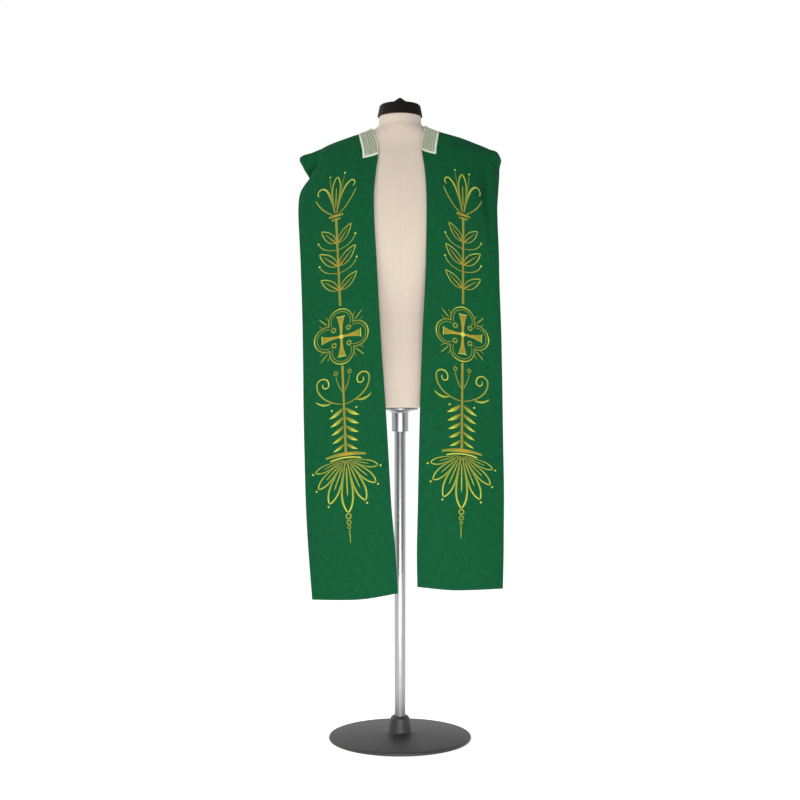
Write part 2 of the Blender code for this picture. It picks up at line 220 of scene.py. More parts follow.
# height, neck edge, outer edge, how far a fold draws the outer edge in
LEFT_EDGES = np.array([
    (1.5443, 0.0686, 0.2475, 0.0), (1.4755, 0.054, 0.2475, 0.0), (1.47, 0.0541, 0.2475, 0.0),
    (1.46, 0.0545, 0.2485, 0.0015), (1.44, 0.057, 0.2505, 0.009), (1.425, 0.0588, 0.2514, 0.0155),
    (1.41, 0.0602, 0.2514, 0.018), (1.395, 0.0616, 0.2515, 0.0128), (1.38, 0.0628, 0.2516, 0.0055),
    (1.36, 0.064, 0.2512, 0.001), (1.33, 0.0636, 0.2508, 0.0), (1.2, 0.057, 0.2446, 0.0),
    (1.0, 0.046, 0.2377, 0.0), (0.8, 0.0325, 0.2352, 0.0), (0.6, 0.0213, 0.2304, 0.0),
    (0.5, 0.0123, 0.2248, 0.0), (0.37, 0.0035, 0.215, 0.0),
])
RIGHT_EDGES = np.array([
    (1.5495, 0.0612, 0.2565, 0.0), (1.483, 0.0535, 0.2565, 0.0), (1.46, 0.0558, 0.2565, 0.0),
    (1.43, 0.06, 0.2553, 0.0), (1.38, 0.064, 0.249, 0.0), (1.33, 0.065, 0.2445, 0.0),
    (1.2, 0.0632, 0.2435, 0.0), (1.0, 0.054, 0.2485, 0.0), (0.8, 0.0478, 0.2522, 0.0),
    (0.6, 0.0436, 0.255, 0.0), (0.48, 0.0412, 0.2535, 0.0), (0.37, 0.043, 0.2515, 0.0),
])
# heights of the hem at the neck edge, in the middle and at the outer edge
LEFT_HEM = (0.3865, 0.3715, 0.3685)
RIGHT_HEM = (0.4020, 0.3940, 0.3945)
MEAN_NECK_X = (LEFT_EDGES[0, 1] + RIGHT_EDGES[0, 1]) / 2
MEAN_OUTER_X = (LEFT_EDGES[0, 2] + RIGHT_EDGES[0, 2]) / 2
print("Level cuts:", len(DRAPE), "and edge measures:", len(LEFT_EDGES), "and", len(RIGHT_EDGES))

# %% Smooth curves through the measures


def curve_through(places, values):
    """A smooth curve through the given values that makes no waves of its own."""
    order = np.argsort(places)
    x = np.array(places, float)[order]
    y = np.array(values, float)[order]
    slope = np.diff(y) / np.diff(x)
    product = slope[1:] * slope[:-1]
    total = slope[1:] + slope[:-1]
    middle = np.where(product > 0, 2 * product / np.where(total == 0, 1, total), 0)
    tangent = np.concatenate([slope[:1], middle, slope[-1:]])

    def at(place):
        place = np.clip(place, x[0], x[-1])
        i = np.clip(np.searchsorted(x, place) - 1, 0, len(x) - 2)
        span = x[i + 1] - x[i]
        t = (place - x[i]) / span
        start = y[i] * (1 + 2 * t) * (1 - t) ** 2 + span * tangent[i] * t * (1 - t) ** 2
        end = y[i + 1] * t**2 * (3 - 2 * t) + span * tangent[i + 1] * t**2 * (t - 1)
        return start + end

    return at


def smooth_step(value, low, high):
    """From 0 at the low value to 1 at the high one, with no corner."""
    t = np.clip((value - low) / (high - low), 0, 1)
    return t * t * (3 - 2 * t)


half_width, front_depth, back_depth = [curve_through(DRAPE[:, 0], DRAPE[:, k]) for k in (1, 2, 3)]


def cut_depth(depth, x, height):
    """How far the cloth's level cut at a height stands out, this far from the middle."""
    return depth(height) * np.sqrt(1 - np.clip(x / half_width(height), 0, 1) ** 2)


def lean_at(height):
    """How much of the shoulders' lean there is at a height, from 0 to 1."""
    return smooth_step(height, LEAN_FOOT, LEAN_FULL) - smooth_step(height, LEAN_END, LEVEL)


SHOULDER_FOOT = 1.43
SHOULDER_HEIGHTS = np.linspace(DRAPE[0, 0], SHOULDER_FOOT, 400)
SHOULDER_WIDTHS = half_width(SHOULDER_HEIGHTS)
at_150_mm = np.interp(0.15, SHOULDER_WIDTHS, SHOULDER_HEIGHTS)
print("The shoulder line is", round(float(at_150_mm), 4), "m high 150 mm out")

# %% [markdown]
# ## The folds
#
# Lined cloth of this weight doesn't crumple. It hangs in long, soft swells that start where the
# shoulder lets it go, and it only breaks near the shoulder's end, where it has to turn a corner.
# Each fold is a soft ridge or trough along a line. The first two of each half are in the frame's
# own solid too, and the rest are finer. Where the cloth rests on the form it can only rise, and
# a slow noise of about a millimetre keeps any stretch from being quite flat.

# %% The folds of each half
# From here to there, each as a share of the width and a distance below the shoulder line, which
# is negative on the back. Then half width, height, and whether it fades at its start as well.
Fold = namedtuple("Fold", "across down to_across to_down half_width height fades_in", defaults=[True])
LEFT_FOLDS = [
    Fold(1.00, 0.05, 0.68, 0.01, 0.02, -0.0085, False),
    Fold(1.00, 0.00, 0.96, 0.02, 0.015, 0.007, False),
    Fold(1.01, 0.054, 0.66, -0.004, 0.0075, -0.009, False),
    Fold(0.97, 0.095, 0.80, 0.33, 0.013, 0.0032),
    Fold(0.72, 0.06, 0.55, 0.42, 0.02, 0.0024),
    Fold(0.18, 0.05, 0.30, 0.36, 0.015, 0.0026),
    Fold(0.85, 0.30, 0.90, 0.82, 0.022, 0.0034),
    Fold(0.30, 0.42, 0.22, 1.08, 0.018, 0.0032),
    Fold(0.62, 0.62, 0.70, 1.12, 0.024, 0.0028),
    Fold(0.05, 0.70, 0.10, 1.15, 0.012, 0.0022),
    Fold(0.90, -0.015, 0.60, -0.20, 0.015, 0.0052),
    Fold(0.62, -0.01, 0.45, -0.15, 0.012, 0.0036),
    Fold(0.35, -0.02, 0.70, -0.24, 0.016, 0.0042),
    Fold(0.20, -0.01, 0.18, -0.09, 0.009, 0.0012),
]
RIGHT_FOLDS = [
    Fold(1.00, 0.03, 1.00, 0.28, 0.03, -0.009, False),
    Fold(0.86, 0.06, 0.82, 0.30, 0.016, 0.002, False),
    Fold(0.93, -0.02, 0.93, 0.03, 0.012, 0.006, False),
    Fold(0.76, 0.006, 0.90, 0.28, 0.01, -0.014),
    Fold(0.93, 0.02, 0.97, 0.20, 0.009, 0.0022),
    Fold(0.60, 0.02, 0.62, 0.30, 0.015, 0.003),
    Fold(0.28, 0.06, 0.20, 0.33, 0.017, 0.0024),
    Fold(0.93, 0.26, 0.88, 0.76, 0.015, 0.0032),
    Fold(0.45, 0.33, 0.52, 0.90, 0.024, 0.0028),
    Fold(0.12, 0.45, 0.16, 1.10, 0.017, 0.003),
    Fold(0.75, 0.68, 0.70, 1.10, 0.02, 0.003),
    Fold(0.95, 0.90, 0.97, 1.15, 0.01, 0.002),
    Fold(0.88, -0.02, 0.55, -0.21, 0.016, 0.005),
    Fold(0.55, -0.012, 0.42, -0.13, 0.011, 0.0034),
    Fold(0.30, -0.015, 0.62, -0.23, 0.015, 0.004),
    Fold(0.16, -0.012, 0.20, -0.085, 0.009, 0.0012),
]
FADE_IN = 0.35  # the share of its length over which a fold that fades at its start grows
FADE_OUT = 0.4  # and the share after which any fold dies away
SLOW_NOISE = 0.0012  # height of the unevenness
SWELLS = (22, 12)  # its swells in a metre across and along
SEED_STEP = 7.3  # apart, the two halves' noises have nothing in common


def folds_relief(across, down, width, folds):
    """How far the folds move the cloth out at each point of a strip."""
    place = np.stack([across * width, down], -1)
    out = np.zeros(down.shape)
    for fold in folds:
        start = np.array([fold.across * width, fold.down])
        run = np.array([fold.to_across * width, fold.to_down]) - start
        t = np.clip((place - start) @ run / (run @ run), 0, 1)
        away = np.linalg.norm(place - start - t[..., None] * run, axis=-1)
        fade = 1 - smooth_step(t, FADE_OUT, 1.0)
        if fold.fades_in:
            fade = fade * smooth_step(t, 0.0, FADE_IN)
        out += fold.height * fade * np.exp(-((away / fold.half_width) ** 2))
    return out


def slow_noise(across_m, along_m, seed):
    """A soft unevenness from 0 to 1, in swells 45 mm wide and 80 mm long."""
    layer = np.full(along_m.shape, SEED_STEP * seed)
    places = np.stack([across_m * SWELLS[0], along_m * SWELLS[1], layer], -1)
    values = [noise.noise(Vector(p)) for p in places.reshape(-1, 3)]
    return 0.5 + 0.5 * np.array(values).reshape(along_m.shape)


print(len(LEFT_FOLDS), "folds on the left half,", len(RIGHT_FOLDS), "on the right")

# %% [markdown]
# ## The surface of each half
#
# A half is a grid of points. Its columns run across the strip from the neck edge, and its rows
# run from the seam at the centre back, over the shoulder and down to the hem. Each row on the
# front has a *place*, its distance along the cloth from the shoulder line. The lace and the
# embroidery are laid on this same grid, so they follow every fold. The two long edges and the
# hem are a little thicker than the rest, because the allowance is turned in there.

# %% The grid of points of a half
COLUMNS = 56
BACK_ROWS = 64
FRONT_ROWS = 336
ROWS = BACK_ROWS + FRONT_ROWS
ALLOWANCE = 0.010  # cloth turned in along the long edges
HEM_ALLOWANCE = 0.026
ALLOWANCE_RISE = 0.00035  # how much higher the outer face stands over it
ALLOWANCE_STEP = 0.0015  # half the width of the slope at its inner edge


def outward(points):
    """The grid's normals."""
    normal = np.cross(np.gradient(points, axis=0), np.gradient(points, axis=1))
    return normal / np.linalg.norm(normal, axis=-1, keepdims=True)


def rolled(distance):
    """Drop of a strip that has gone this far over the rounded shoulder."""
    return np.sqrt(RIDGE_RADIUS**2 + distance**2) - RIDGE_RADIUS


def back_points(ridge_x, ridge_z, across):
    """The back, which eases from this half's shoulder line to the seam that both halves share."""
    share = (np.arange(BACK_ROWS, 0, -1) / BACK_ROWS)[:, None] ** 2
    mean_x = MEAN_NECK_X + (MEAN_OUTER_X - MEAN_NECK_X) * across
    mean_z = np.interp(mean_x, SHOULDER_WIDTHS, SHOULDER_HEIGHTS)
    x = np.maximum(ridge_x * (1 - share), SEAM_GAP / 2)
    z = mean_z - rolled(share * mean_x / math.tan(BACK_LEAN)) + (ridge_z - mean_z) * (1 - share)
    return np.stack([x, cut_depth(back_depth, x, z), z], -1)


def front_points(places, edges, hem_height, ridge_z, across):
    """The front, which follows its two edges down to the hem."""
    neck_edge, outer_edge, drawn_in = [curve_through(edges[:, 0], edges[:, k]) for k in (1, 2, 3)]
    share = (rolled(places) / rolled(places[-1]))[:, None]
    z = ridge_z + (hem_height(across) - ridge_z) * share
    neck, outer = neck_edge(z[:, :1]), outer_edge(z[:, -1:])
    x = neck + (outer - neck) * across - drawn_in(z[:, -1:]) * across**3
    crown = HEM_CROWN * (1 - (2 * across - 1) ** 2) * (1 - smooth_step(z, CROWN_FULL, CROWN_TOP))
    return np.stack([x, -cut_depth(front_depth, x, z) - crown, z], -1)


print("A half has", (ROWS + 1) * (COLUMNS + 1), "points")

# %% The two halves


class Half:
    """One half of the stole: points of its inner face, their normals, and how they are laid out."""

    def __init__(self, side, edges, hem, folds, seed):
        self.side = side
        across = np.linspace(0, 1, COLUMNS + 1)[None, :]
        hem_height = curve_through((0, 0.5, 1), hem)
        ridge_x = edges[0, 1] + (edges[0, 2] - edges[0, 1]) * across
        ridge_z = np.interp(ridge_x, SHOULDER_WIDTHS, SHOULDER_HEIGHTS)
        length = float(ridge_z[0, 0] - hem_height(0.0)) + RIDGE_RADIUS
        self.places = np.linspace(0, length, FRONT_ROWS + 1)
        points = np.concatenate([
            back_points(ridge_x, ridge_z, across),
            front_points(self.places, edges, hem_height, ridge_z, across),
        ])

        # distances across and along the cloth, before it is folded
        width = edges[0, 2] - edges[0, 1]
        down = ridge_z - points[..., 2]
        down[:BACK_ROWS] *= -1
        self.across_m = np.linalg.norm(np.diff(points, axis=1, prepend=points[:, :1]), axis=2).cumsum(1)
        self.widths = self.across_m[:, -1]
        steps = np.linalg.norm(np.diff(points, axis=0), axis=2)
        self.along_m = np.concatenate([np.zeros((1, COLUMNS + 1)), steps.cumsum(0)])
        self.along_m -= self.along_m[BACK_ROWS]

        spread = np.broadcast_to(across, down.shape)
        out = folds_relief(spread, down, width, folds)
        out += SLOW_NOISE * slow_noise(self.across_m, self.along_m, seed)
        from_edge = np.minimum(self.across_m, self.widths[:, None] - self.across_m)
        from_hem = self.along_m[-1] - self.along_m
        thinner = np.minimum(*[
            smooth_step(distance, allowance - ALLOWANCE_STEP, allowance + ALLOWANCE_STEP)
            for distance, allowance in ((from_edge, ALLOWANCE), (from_hem, HEM_ALLOWANCE))
        ])
        self.outer_rise = ALLOWANCE_RISE * (1 - thinner)
        points = points + outward(points) * out[..., None]
        points[..., 2] += SHOULDER_LEAN * side * points[..., 0] * lean_at(points[..., 2])
        self.points = points
        self.normals = outward(points)

    def laid(self, row, column, lift):
        """Points at this row and column of the grid, lifted off the inner face."""
        row, column = np.clip(row, 0, ROWS), np.clip(column, 0, COLUMNS)
        r = np.minimum(row.astype(int), ROWS - 1)
        c = np.minimum(column.astype(int), COLUMNS - 1)
        fr, fc = (row - r)[:, None], (column - c)[:, None]

        def blended(grid):
            grid = grid if grid.ndim == 3 else grid[..., None]
            near = grid[r, c] * (1 - fc) + grid[r, c + 1] * fc
            far = grid[r + 1, c] * (1 - fc) + grid[r + 1, c + 1] * fc
            return near * (1 - fr) + far * fr

        normal = blended(self.normals)
        normal /= np.linalg.norm(normal, axis=1, keepdims=True)
        point = blended(self.points) + normal * (lift[:, None] + blended(self.outer_rise))
        point[:, 0] = np.maximum(point[:, 0], SEAM_GAP / 2)
        return point * (self.side, 1, 1)

    def row_at(self, place):
        """The row at this distance along the cloth from the shoulder line."""
        return BACK_ROWS + place / self.places[-1] * FRONT_ROWS


halves = {
    "left": Half(-1, LEFT_EDGES, LEFT_HEM, LEFT_FOLDS, 1),
    "right": Half(1, RIGHT_EDGES, RIGHT_HEM, RIGHT_FOLDS, 2),
}
for name, half in halves.items():
    print(name, "front", round(half.places[-1], 3), "m, width at hem", round(half.widths[-1], 3))

# %% [markdown]
# ## The cloth of the two halves
#
# Each half is cut, lined and turned right side out, so its edges are soft and a little thicker
# than the middle, where the allowance lies inside. A grid is shaped to the points above. A
# Solidify modifier gives it the thickness of cloth and lining together, and a small bevel rolls
# its edges. Its UV map is in metres along and across the cloth, so the weave follows the cut.

# %% Make the cloth
EDGE_ROLL = 0.0007


def flat_grid(cells_x, cells_y):
    """A flat grid of this many cells, one metre square."""
    deselect()
    bpy.ops.mesh.primitive_grid_add(x_subdivisions=cells_x, y_subdivisions=cells_y, size=1)
    return bpy.context.object


def set_uv(obj, flat):
    """Gives each point of a mesh its place on the UV map."""
    corners = np.empty(len(obj.data.loops), int)
    obj.data.loops.foreach_get("vertex_index", corners)
    obj.data.uv_layers.active.data.foreach_set("uv", flat[corners].ravel())


def round_edges(obj, width, segments, degrees):
    """Bevels the edges that turn by more than this many degrees."""
    bevel = obj.modifiers.new("edges", "BEVEL")
    bevel.limit_method = "ANGLE"
    bevel.angle_limit = math.radians(degrees)
    bevel.width = width
    bevel.segments = segments
    bpy.ops.object.modifier_apply(modifier=bevel.name)


def finished(obj, degrees=50):
    """Shades a piece smooth where it turns by less than this many degrees."""
    bpy.ops.object.shade_smooth_by_angle(angle=math.radians(degrees))
    obj.data.calc_loop_triangles()
    print(obj.name, len(obj.data.loop_triangles), "triangles")
    return obj


def make_cloth(name, half):
    """A thin shell over the grid of a half."""
    rows, columns = half.points.shape[:2]
    cloth = flat_grid(columns - 1, rows - 1)
    cloth.name = cloth.data.name = name
    handed = (half.side, 1, 1)
    inner = half.points.copy()
    inner[..., 0] = np.maximum(inner[..., 0], SEAM_GAP / 2)
    set_coordinates(cloth, (inner * handed).reshape(-1, 3))
    set_uv(cloth, np.stack([half.across_m, half.along_m], -1).reshape(-1, 2))
    if half.side > 0:
        cloth.data.flip_normals()
    wall = cloth.modifiers.new("wall", "SOLIDIFY")
    wall.thickness = CLOTH
    wall.offset = 1
    bpy.ops.object.modifier_apply(modifier="wall")
    # the outer face stands a little higher over the allowance
    places = coordinates(cloth)
    rise = half.normals * handed * half.outer_rise[..., None]
    places[rows * columns:] += rise.reshape(-1, 3)
    set_coordinates(cloth, places)
    round_edges(cloth, EDGE_ROLL, segments=2, degrees=60)
    return finished(cloth)


cloths = {name: make_cloth(f"stole_{name}_cloth", half) for name, half in halves.items()}

# %% [markdown]
# ## Slabs and threads
#
# Lace tape and satin stitch are both thin, closed, slightly rounded layers that lie on cloth. One
# helper makes the blank for either: a grid is added and extruded once, so that it has an under
# side, a top and a rim. A thread is a curve with a round bevel, turned into a mesh. Joining
# brings the parts of one piece together.

# %% Blanks for tapes, stitches and threads
SAME_PLACE = 0.00001  # points closer than this are merged


def slab(cells_along, cells_across):
    """A closed slab. Its x runs from 0 to 1 along, y from -1 to 1 across, and z is 0 or 1."""
    made = flat_grid(cells_along, cells_across)
    bpy.ops.object.mode_set(mode="EDIT")
    bpy.ops.mesh.extrude_region_move(TRANSFORM_OT_translate={"value": (0, 0, 1)})
    bpy.ops.object.mode_set(mode="OBJECT")
    set_coordinates(made, coordinates(made) * (1, 2, 1) + (0.5, 0, 0))
    return made


def lines_through(paths):
    """A curve of straight lines through the points of each path."""
    deselect()
    bpy.ops.curve.primitive_bezier_curve_add()
    made = bpy.context.object
    made.data.dimensions = "3D"
    made.data.splines.clear()
    for path in paths:
        spline = made.data.splines.new("POLY")
        spline.points.add(len(path) - 1)
        spline.points.foreach_set("co", np.column_stack([path, np.ones(len(path))]).ravel())
    return made


def merge_all():
    """In edit mode, selects everything and merges the points that lie in the same place."""
    bpy.ops.mesh.select_all(action="SELECT")
    bpy.ops.mesh.remove_doubles(threshold=SAME_PLACE)


def threads(paths, radius):
    """Round threads through the points of each path, as one mesh."""
    made = lines_through(paths)
    made.data.bevel_depth = radius
    made.data.bevel_resolution = 1
    made.data.use_fill_caps = True
    bpy.ops.object.convert(target="MESH")
    # the caps come loose, so they are merged to the tube
    bpy.ops.object.mode_set(mode="EDIT")
    merge_all()
    bpy.ops.object.mode_set(mode="OBJECT")
    return bpy.context.object


def joined(name, parts):
    """One piece out of several."""
    deselect()
    for part in parts:
        part.select_set(True)
    bpy.context.view_layer.objects.active = parts[0]
    if len(parts) > 1:
        bpy.ops.object.join()
    made = bpy.context.object
    made.name = made.data.name = name
    return finished(made)


# %% [markdown]
# ## The lace
#
# The lace that protects the neck is a narrow edging: a woven tape along each side and across
# each front end, and between them a net of lengthwise cords joined by zigzag threads. The green
# has to show between the threads, so each one is real geometry rather than a painted pattern.

# %% Where the lace lies
# Its share of the strip's width at the seam and, on each side (-1 is the left half), at its front
# end. Then how far that end is from the shoulder line, along the neck edge and the outer edge.
LACE_BACK = 0.203
LACE_FRONT = {-1: 0.193, 1: 0.180}
LACE_END = {-1: (0.1248, 0.1202), 1: (0.1178, 0.1131)}
LACE_LIFT = CLOTH + SEAM_GAP


def on_lace(half, share, along, lift):
    """Points over the lace: share of its width from the neck, and of its length from the seam."""
    at_neck, at_outer = LACE_END[half.side]
    end = at_neck + (at_outer - at_neck) * share
    seam = half.along_m[0, 0]
    rows = np.interp(seam + (end - seam) * along, half.along_m[:, 0], np.arange(ROWS + 1))
    width = LACE_BACK + (LACE_FRONT[half.side] - LACE_BACK) * along
    return half.laid(rows, share * width * COLUMNS, LACE_LIFT + lift)


for name, half in halves.items():
    print("The", name, "lace is", round(LACE_END[half.side][0] - half.along_m[0, 0], 3), "m long")

# %% Make the lace
OUTER_TAPE = 0.115  # share of the lace's width
INNER_TAPE = 0.035
END_TAPE = 0.024  # share of its length
TAPE_THICK = 0.0009
TAPE_EDGE = 0.75  # share of that thickness at the tape's edges
BARS = 5  # dense bars along the lace, with open gaps between them
BAR_SHARE = 0.68  # how much of the net the bars fill
THREAD_START = 0.004  # share of the length where the threads begin, clear of the seam
CORD_RADIUS = 0.00048
CORD_STEPS = 100
NET_RADIUS = 0.00036
BAR_STEPS = 230  # turns of the zigzag inside a bar
GAP_STEPS = 56  # and across a gap


def make_tape(half, from_share, to_share, from_along, to_along, cells):
    """A flat woven tape over a part of the lace, a little thicker in its middle."""
    tape = slab(*cells)
    place = coordinates(tape)
    share = from_share + (to_share - from_share) * (place[:, 1] + 1) / 2
    along = from_along + (to_along - from_along) * place[:, 0]
    thick = TAPE_THICK * (TAPE_EDGE + (1 - TAPE_EDGE) * (1 - place[:, 1] ** 2))
    set_coordinates(tape, on_lace(half, share, along, place[:, 2] * thick))
    if half.side < 0:
        tape.data.flip_normals()
    return tape


def make_lace(name, half):
    """The net of threads with its three tapes."""
    tapes = [
        make_tape(half, 0, INNER_TAPE, 0, 1, (90, 2)),
        make_tape(half, 1 - OUTER_TAPE, 1, 0, 1, (90, 4)),
        make_tape(half, INNER_TAPE, 1 - OUTER_TAPE, 1 - END_TAPE, 1, (4, 24)),
    ]
    pitch = (1 - OUTER_TAPE - INNER_TAPE) / BARS
    gap = pitch * (1 - BAR_SHARE)
    starts = INNER_TAPE + gap / 2 + pitch * np.arange(BARS)
    ends = starts + pitch - gap

    def run_along(steps, share):
        along = np.linspace(THREAD_START, 1 - END_TAPE, steps)
        return on_lace(half, share * np.ones(steps), along, np.full(steps, CORD_RADIUS))

    def zigzag(steps, low, high):
        return run_along(steps, np.where(np.arange(steps) % 2, low, high))

    cords = [run_along(CORD_STEPS, share) for share in (*starts, *ends)]
    net = [zigzag(BAR_STEPS, *sides) for sides in zip(starts, ends)]
    net += [zigzag(GAP_STEPS, *sides) for sides in zip((INNER_TAPE, *ends), (*starts, 1 - OUTER_TAPE))]
    return joined(name, [threads(cords, CORD_RADIUS), threads(net, NET_RADIUS), *tapes])


laces = {name: make_lace(f"lace_{name}_band", half) for name, half in halves.items()}

# %% [markdown]
# ## How the embroidery is made
#
# An embroidery machine fills every shape with satin columns: the thread goes to and fro across
# a narrow path, so each column is a low rounded ridge whose threads lie across it. Columns are
# modelled the same way here. A slab is drawn along a flat path, with its own width at each
# point, and its UV map runs along and across the column in metres, for the threads. Each motif
# is made once, flat, and copied. The plane is the cloth's, with x to the right and y up. Paths,
# widths and places in it are given in millimetres.

# %% Paths and widths


def bezier(*handles, count=24):
    """Points of a cubic curve between its first and last handle, in millimetres."""
    a, b, c, d = [np.array(h, float) for h in handles]
    t = np.linspace(0, 1, count)[:, None]
    return a * (1 - t) ** 3 + 3 * b * t * (1 - t) ** 2 + 3 * c * t**2 * (1 - t) + d * t**3


def arc(middle, radius, start, end, count=24):
    """Points of an arc between two angles in degrees, anticlockwise from the right."""
    turn = np.radians(np.linspace(start, end, count))
    return np.array(middle, float) + radius * np.column_stack([np.cos(turn), np.sin(turn)])


def spread_along(values, share):
    """A number, or a few numbers spread evenly along a column, at each share of its length."""
    values = np.atleast_1d(np.array(values, float))
    if len(values) == 1:
        return np.full(share.shape, values[0])
    return np.interp(share, np.linspace(0, 1, len(values)), values)


print("Half way round a quarter circle of 10 mm:", arc((0, 0), 10, 0, 90, 3)[1].round(2))

# %% Satin columns
COLUMN_STEP = 0.0019
SUNK = 0.0005  # how far the under side lies inside the cloth
CROWN = 0.00095  # height of a wide column's middle over the cloth
NARROW_RISE = (0.0004, 0.30)  # a narrow one's: this much, and this share of its half width
SIDE_FALL = 0.92  # how far a column falls off towards its sides
PAINTED_SIDE_SHADE = 0.22  # painted shade: how much darker the thread's colour is made towards a column's sides
ROUNDED_END = 0.0012
POINT = 0.02  # the share of its width that a pointed end keeps, squared
WIDE = 0.005  # half width from which a column has more cells across
NARROW_CELLS, WIDE_CELLS = 4, 8


def set_tone(obj, tone):
    """How light the thread is at each point, painted shade included, for the material to read."""
    obj.data.attributes.new("tone", "FLOAT", "POINT").data.foreach_set("value", tone)


def satin(path, width, tone, slant=0.0, pointed=0.0):
    """A satin column along a path.

    The width and the tone, which is how light its thread is, are each a number, or a few of them
    spread evenly along it. A slanted column's threads lean back from its middle, and a pointed
    one narrows over that share of its length at each end.
    """
    path = np.array(path, float) / 1000
    steps = np.linalg.norm(np.diff(path, axis=0), axis=1)
    run = np.concatenate([[0], steps.cumsum()])
    length = run[-1]
    cells = max(3, round(length / COLUMN_STEP))
    spaced = np.linspace(0, length, cells + 1)
    middle = np.column_stack([np.interp(spaced, run, path[:, k]) for k in (0, 1)])
    ahead = np.gradient(middle, axis=0)
    ahead /= np.linalg.norm(ahead, axis=1, keepdims=True)
    beside = np.column_stack([-ahead[:, 1], ahead[:, 0]])
    share = spaced / length
    half = spread_along(width, share) / 2000
    from_end = np.minimum(share, 1 - share) * length
    if pointed:
        half = half * np.sqrt(np.clip(from_end / (pointed * length), POINT, 1))
    else:
        corner = np.minimum(half, ROUNDED_END)
        into_corner = 1 - np.clip(from_end / corner, 0, 1)
        half = half - corner * (1 - np.sqrt(1 - into_corner**2))
    made = slab(cells, NARROW_CELLS if half.max() < WIDE else WIDE_CELLS)
    place = coordinates(made)
    i = np.rint(place[:, 0] * cells).astype(int)
    offset = place[:, 1] * half[i]
    least, growth = NARROW_RISE
    height = np.minimum(CROWN, least + growth * half[i]) * np.sqrt(1 - SIDE_FALL * place[:, 1] ** 2)
    level = np.where(place[:, 2] > 0.5, height, -SUNK)
    set_coordinates(made, np.column_stack([middle[i] + beside[i] * offset[:, None], level]))
    set_uv(made, np.column_stack([spaced[i] + slant * np.abs(offset), offset]))
    # the sides are painted darker, as shade where the column turns away from the light
    set_tone(made, spread_along(tone, share)[i] - PAINTED_SIDE_SHADE * place[:, 1] ** 2)
    return made


print("Satin columns have a cell every", COLUMN_STEP * 1000, "mm")

# %% Motifs and their copies
motifs = []


def motif(name, columns):
    """A motif out of its columns, to be copied. It isn't a piece, and is removed in the end."""
    made = joined(name, columns)
    motifs.append(made)
    return made


def placed(pattern, at=(0, 0), turn=0.0, size=1.0, mirrored=False):
    """A copy of a motif, turned anticlockwise by degrees and moved to a place."""
    made = pattern.copy()
    made.data = pattern.data.copy()
    bpy.context.scene.collection.objects.link(made)
    flip = Matrix.Diagonal((-1 if mirrored else 1, 1, 1, 1))
    scale = Matrix.Diagonal((size, size, 1, 1))
    spin = Matrix.Rotation(math.radians(turn), 4, "Z")
    move = Matrix.Translation((at[0] / 1000, at[1] / 1000, 0))
    made.data.transform(move @ flip @ spin @ scale)
    if mirrored:
        made.data.flip_normals()
    return made


def on_both_sides(pattern, at=(0, 0), turn=0.0, size=1.0):
    """A copy on the right and its mirror image on the left."""
    return [
        placed(pattern, at, turn, size),
        placed(pattern, (-at[0], at[1]), turn, size, mirrored=True),
    ]


# %% [markdown]
# ## The motifs
#
# The design is a common church ornament of no particular maker's: a lily, a stem with leaves, a
# quatrefoil that holds a flared cross, laurel, scrolls, a palmette and a drop of rings. Most of
# it is drawn in outline, which lets the green show through, and a few parts are filled.

# %% Leaves and petals
LIGHT, GOLD, DEEP, AMBER = 0.95, 0.58, 0.36, 0.0  # tones of thread
TO_TIP = (DEEP, GOLD, LIGHT)  # the tone from a leaf's root to its tip
PETAL = 76  # its length


def outlined(name, side, width, pointed, vein):
    """A leaf's side, its mirror image, and its vein, which is a path, a width and a tone."""
    sides = [satin(side * flip, width, TO_TIP, pointed=pointed) for flip in ((1, 1), (-1, 1))]
    return motif(name, [*sides, satin(*vein, pointed=0.1)])


open_leaf = outlined(
    "open_leaf", bezier((0.6, 0), (13.333, 11.88), (12, 33.48), (0, 54)), (1.8, 2.6, 2.8, 2.0), 0.08,
    ([(0, -3), (0, 42)], (3.2, 2.2, 1.3), (AMBER, DEEP)),
)
petal = outlined(
    "petal", bezier((1.5, 0), (5, 30), (15, 58), (0, PETAL)), (1.6, 2.4, 2.8, 2.3), 0.06,
    ([(0, 10), (0, 52)], (1.8, 2.0, 1.6, 1.0), (GOLD, LIGHT)),
)
filled_leaf = motif("filled_leaf", [satin(
    bezier((0, 0), (3.0, 12), (3.0, 26), (0, 38)), (2, 6.5, 9.0, 7.8, 4.4, 1),
    (*TO_TIP, LIGHT), slant=1.2, pointed=0.06,
)])

# %% [markdown]
# ## Beads and rings
#
# A bead is a small satin dot: a sphere pressed flat. An open bead is a ring, which is a torus
# pressed flat. Their lower halves lie inside the cloth.

# %% Beads and rings
RING_RISE = 0.5  # how much of its roundness a pressed ring keeps


def pressed(rise, uv_size, tone):
    """Flattens the primitive just added, and gives it a UV map in metres and a tone, painted darker on its
    flanks as shade.
    """
    made = bpy.context.object
    bpy.ops.transform.resize(value=(1, 1, rise))
    bpy.ops.object.transform_apply(location=False, rotation=False, scale=True)
    place = coordinates(made)
    uv = np.empty(len(made.data.loops) * 2)
    made.data.uv_layers.active.data.foreach_get("uv", uv)
    uv = uv.reshape(-1, 2) * uv_size
    made.data.uv_layers.active.data.foreach_set("uv", uv.ravel())
    # the flanks below the top are painted darker, as shade
    down = 1 - np.clip(place[:, 2] / place[:, 2].max(), 0, 1)
    set_tone(made, tone - PAINTED_SIDE_SHADE * down)
    return made


def ring(radius, width):
    """A satin ring."""
    deselect()
    bpy.ops.mesh.primitive_torus_add(
        major_radius=radius / 1000,
        minor_radius=width / 2000,
        major_segments=max(16, round(radius * 2.4)),
        minor_segments=8,
    )
    return pressed(RING_RISE, (2 * math.pi * radius / 1000, width / 1000), GOLD)


def dot(radius, rise):
    """A filled satin dot."""
    deselect()
    bpy.ops.mesh.primitive_uv_sphere_add(segments=16, ring_count=8, radius=radius / 1000)
    return pressed(rise / radius, (2 * math.pi * radius / 1000, radius / 1000), LIGHT)


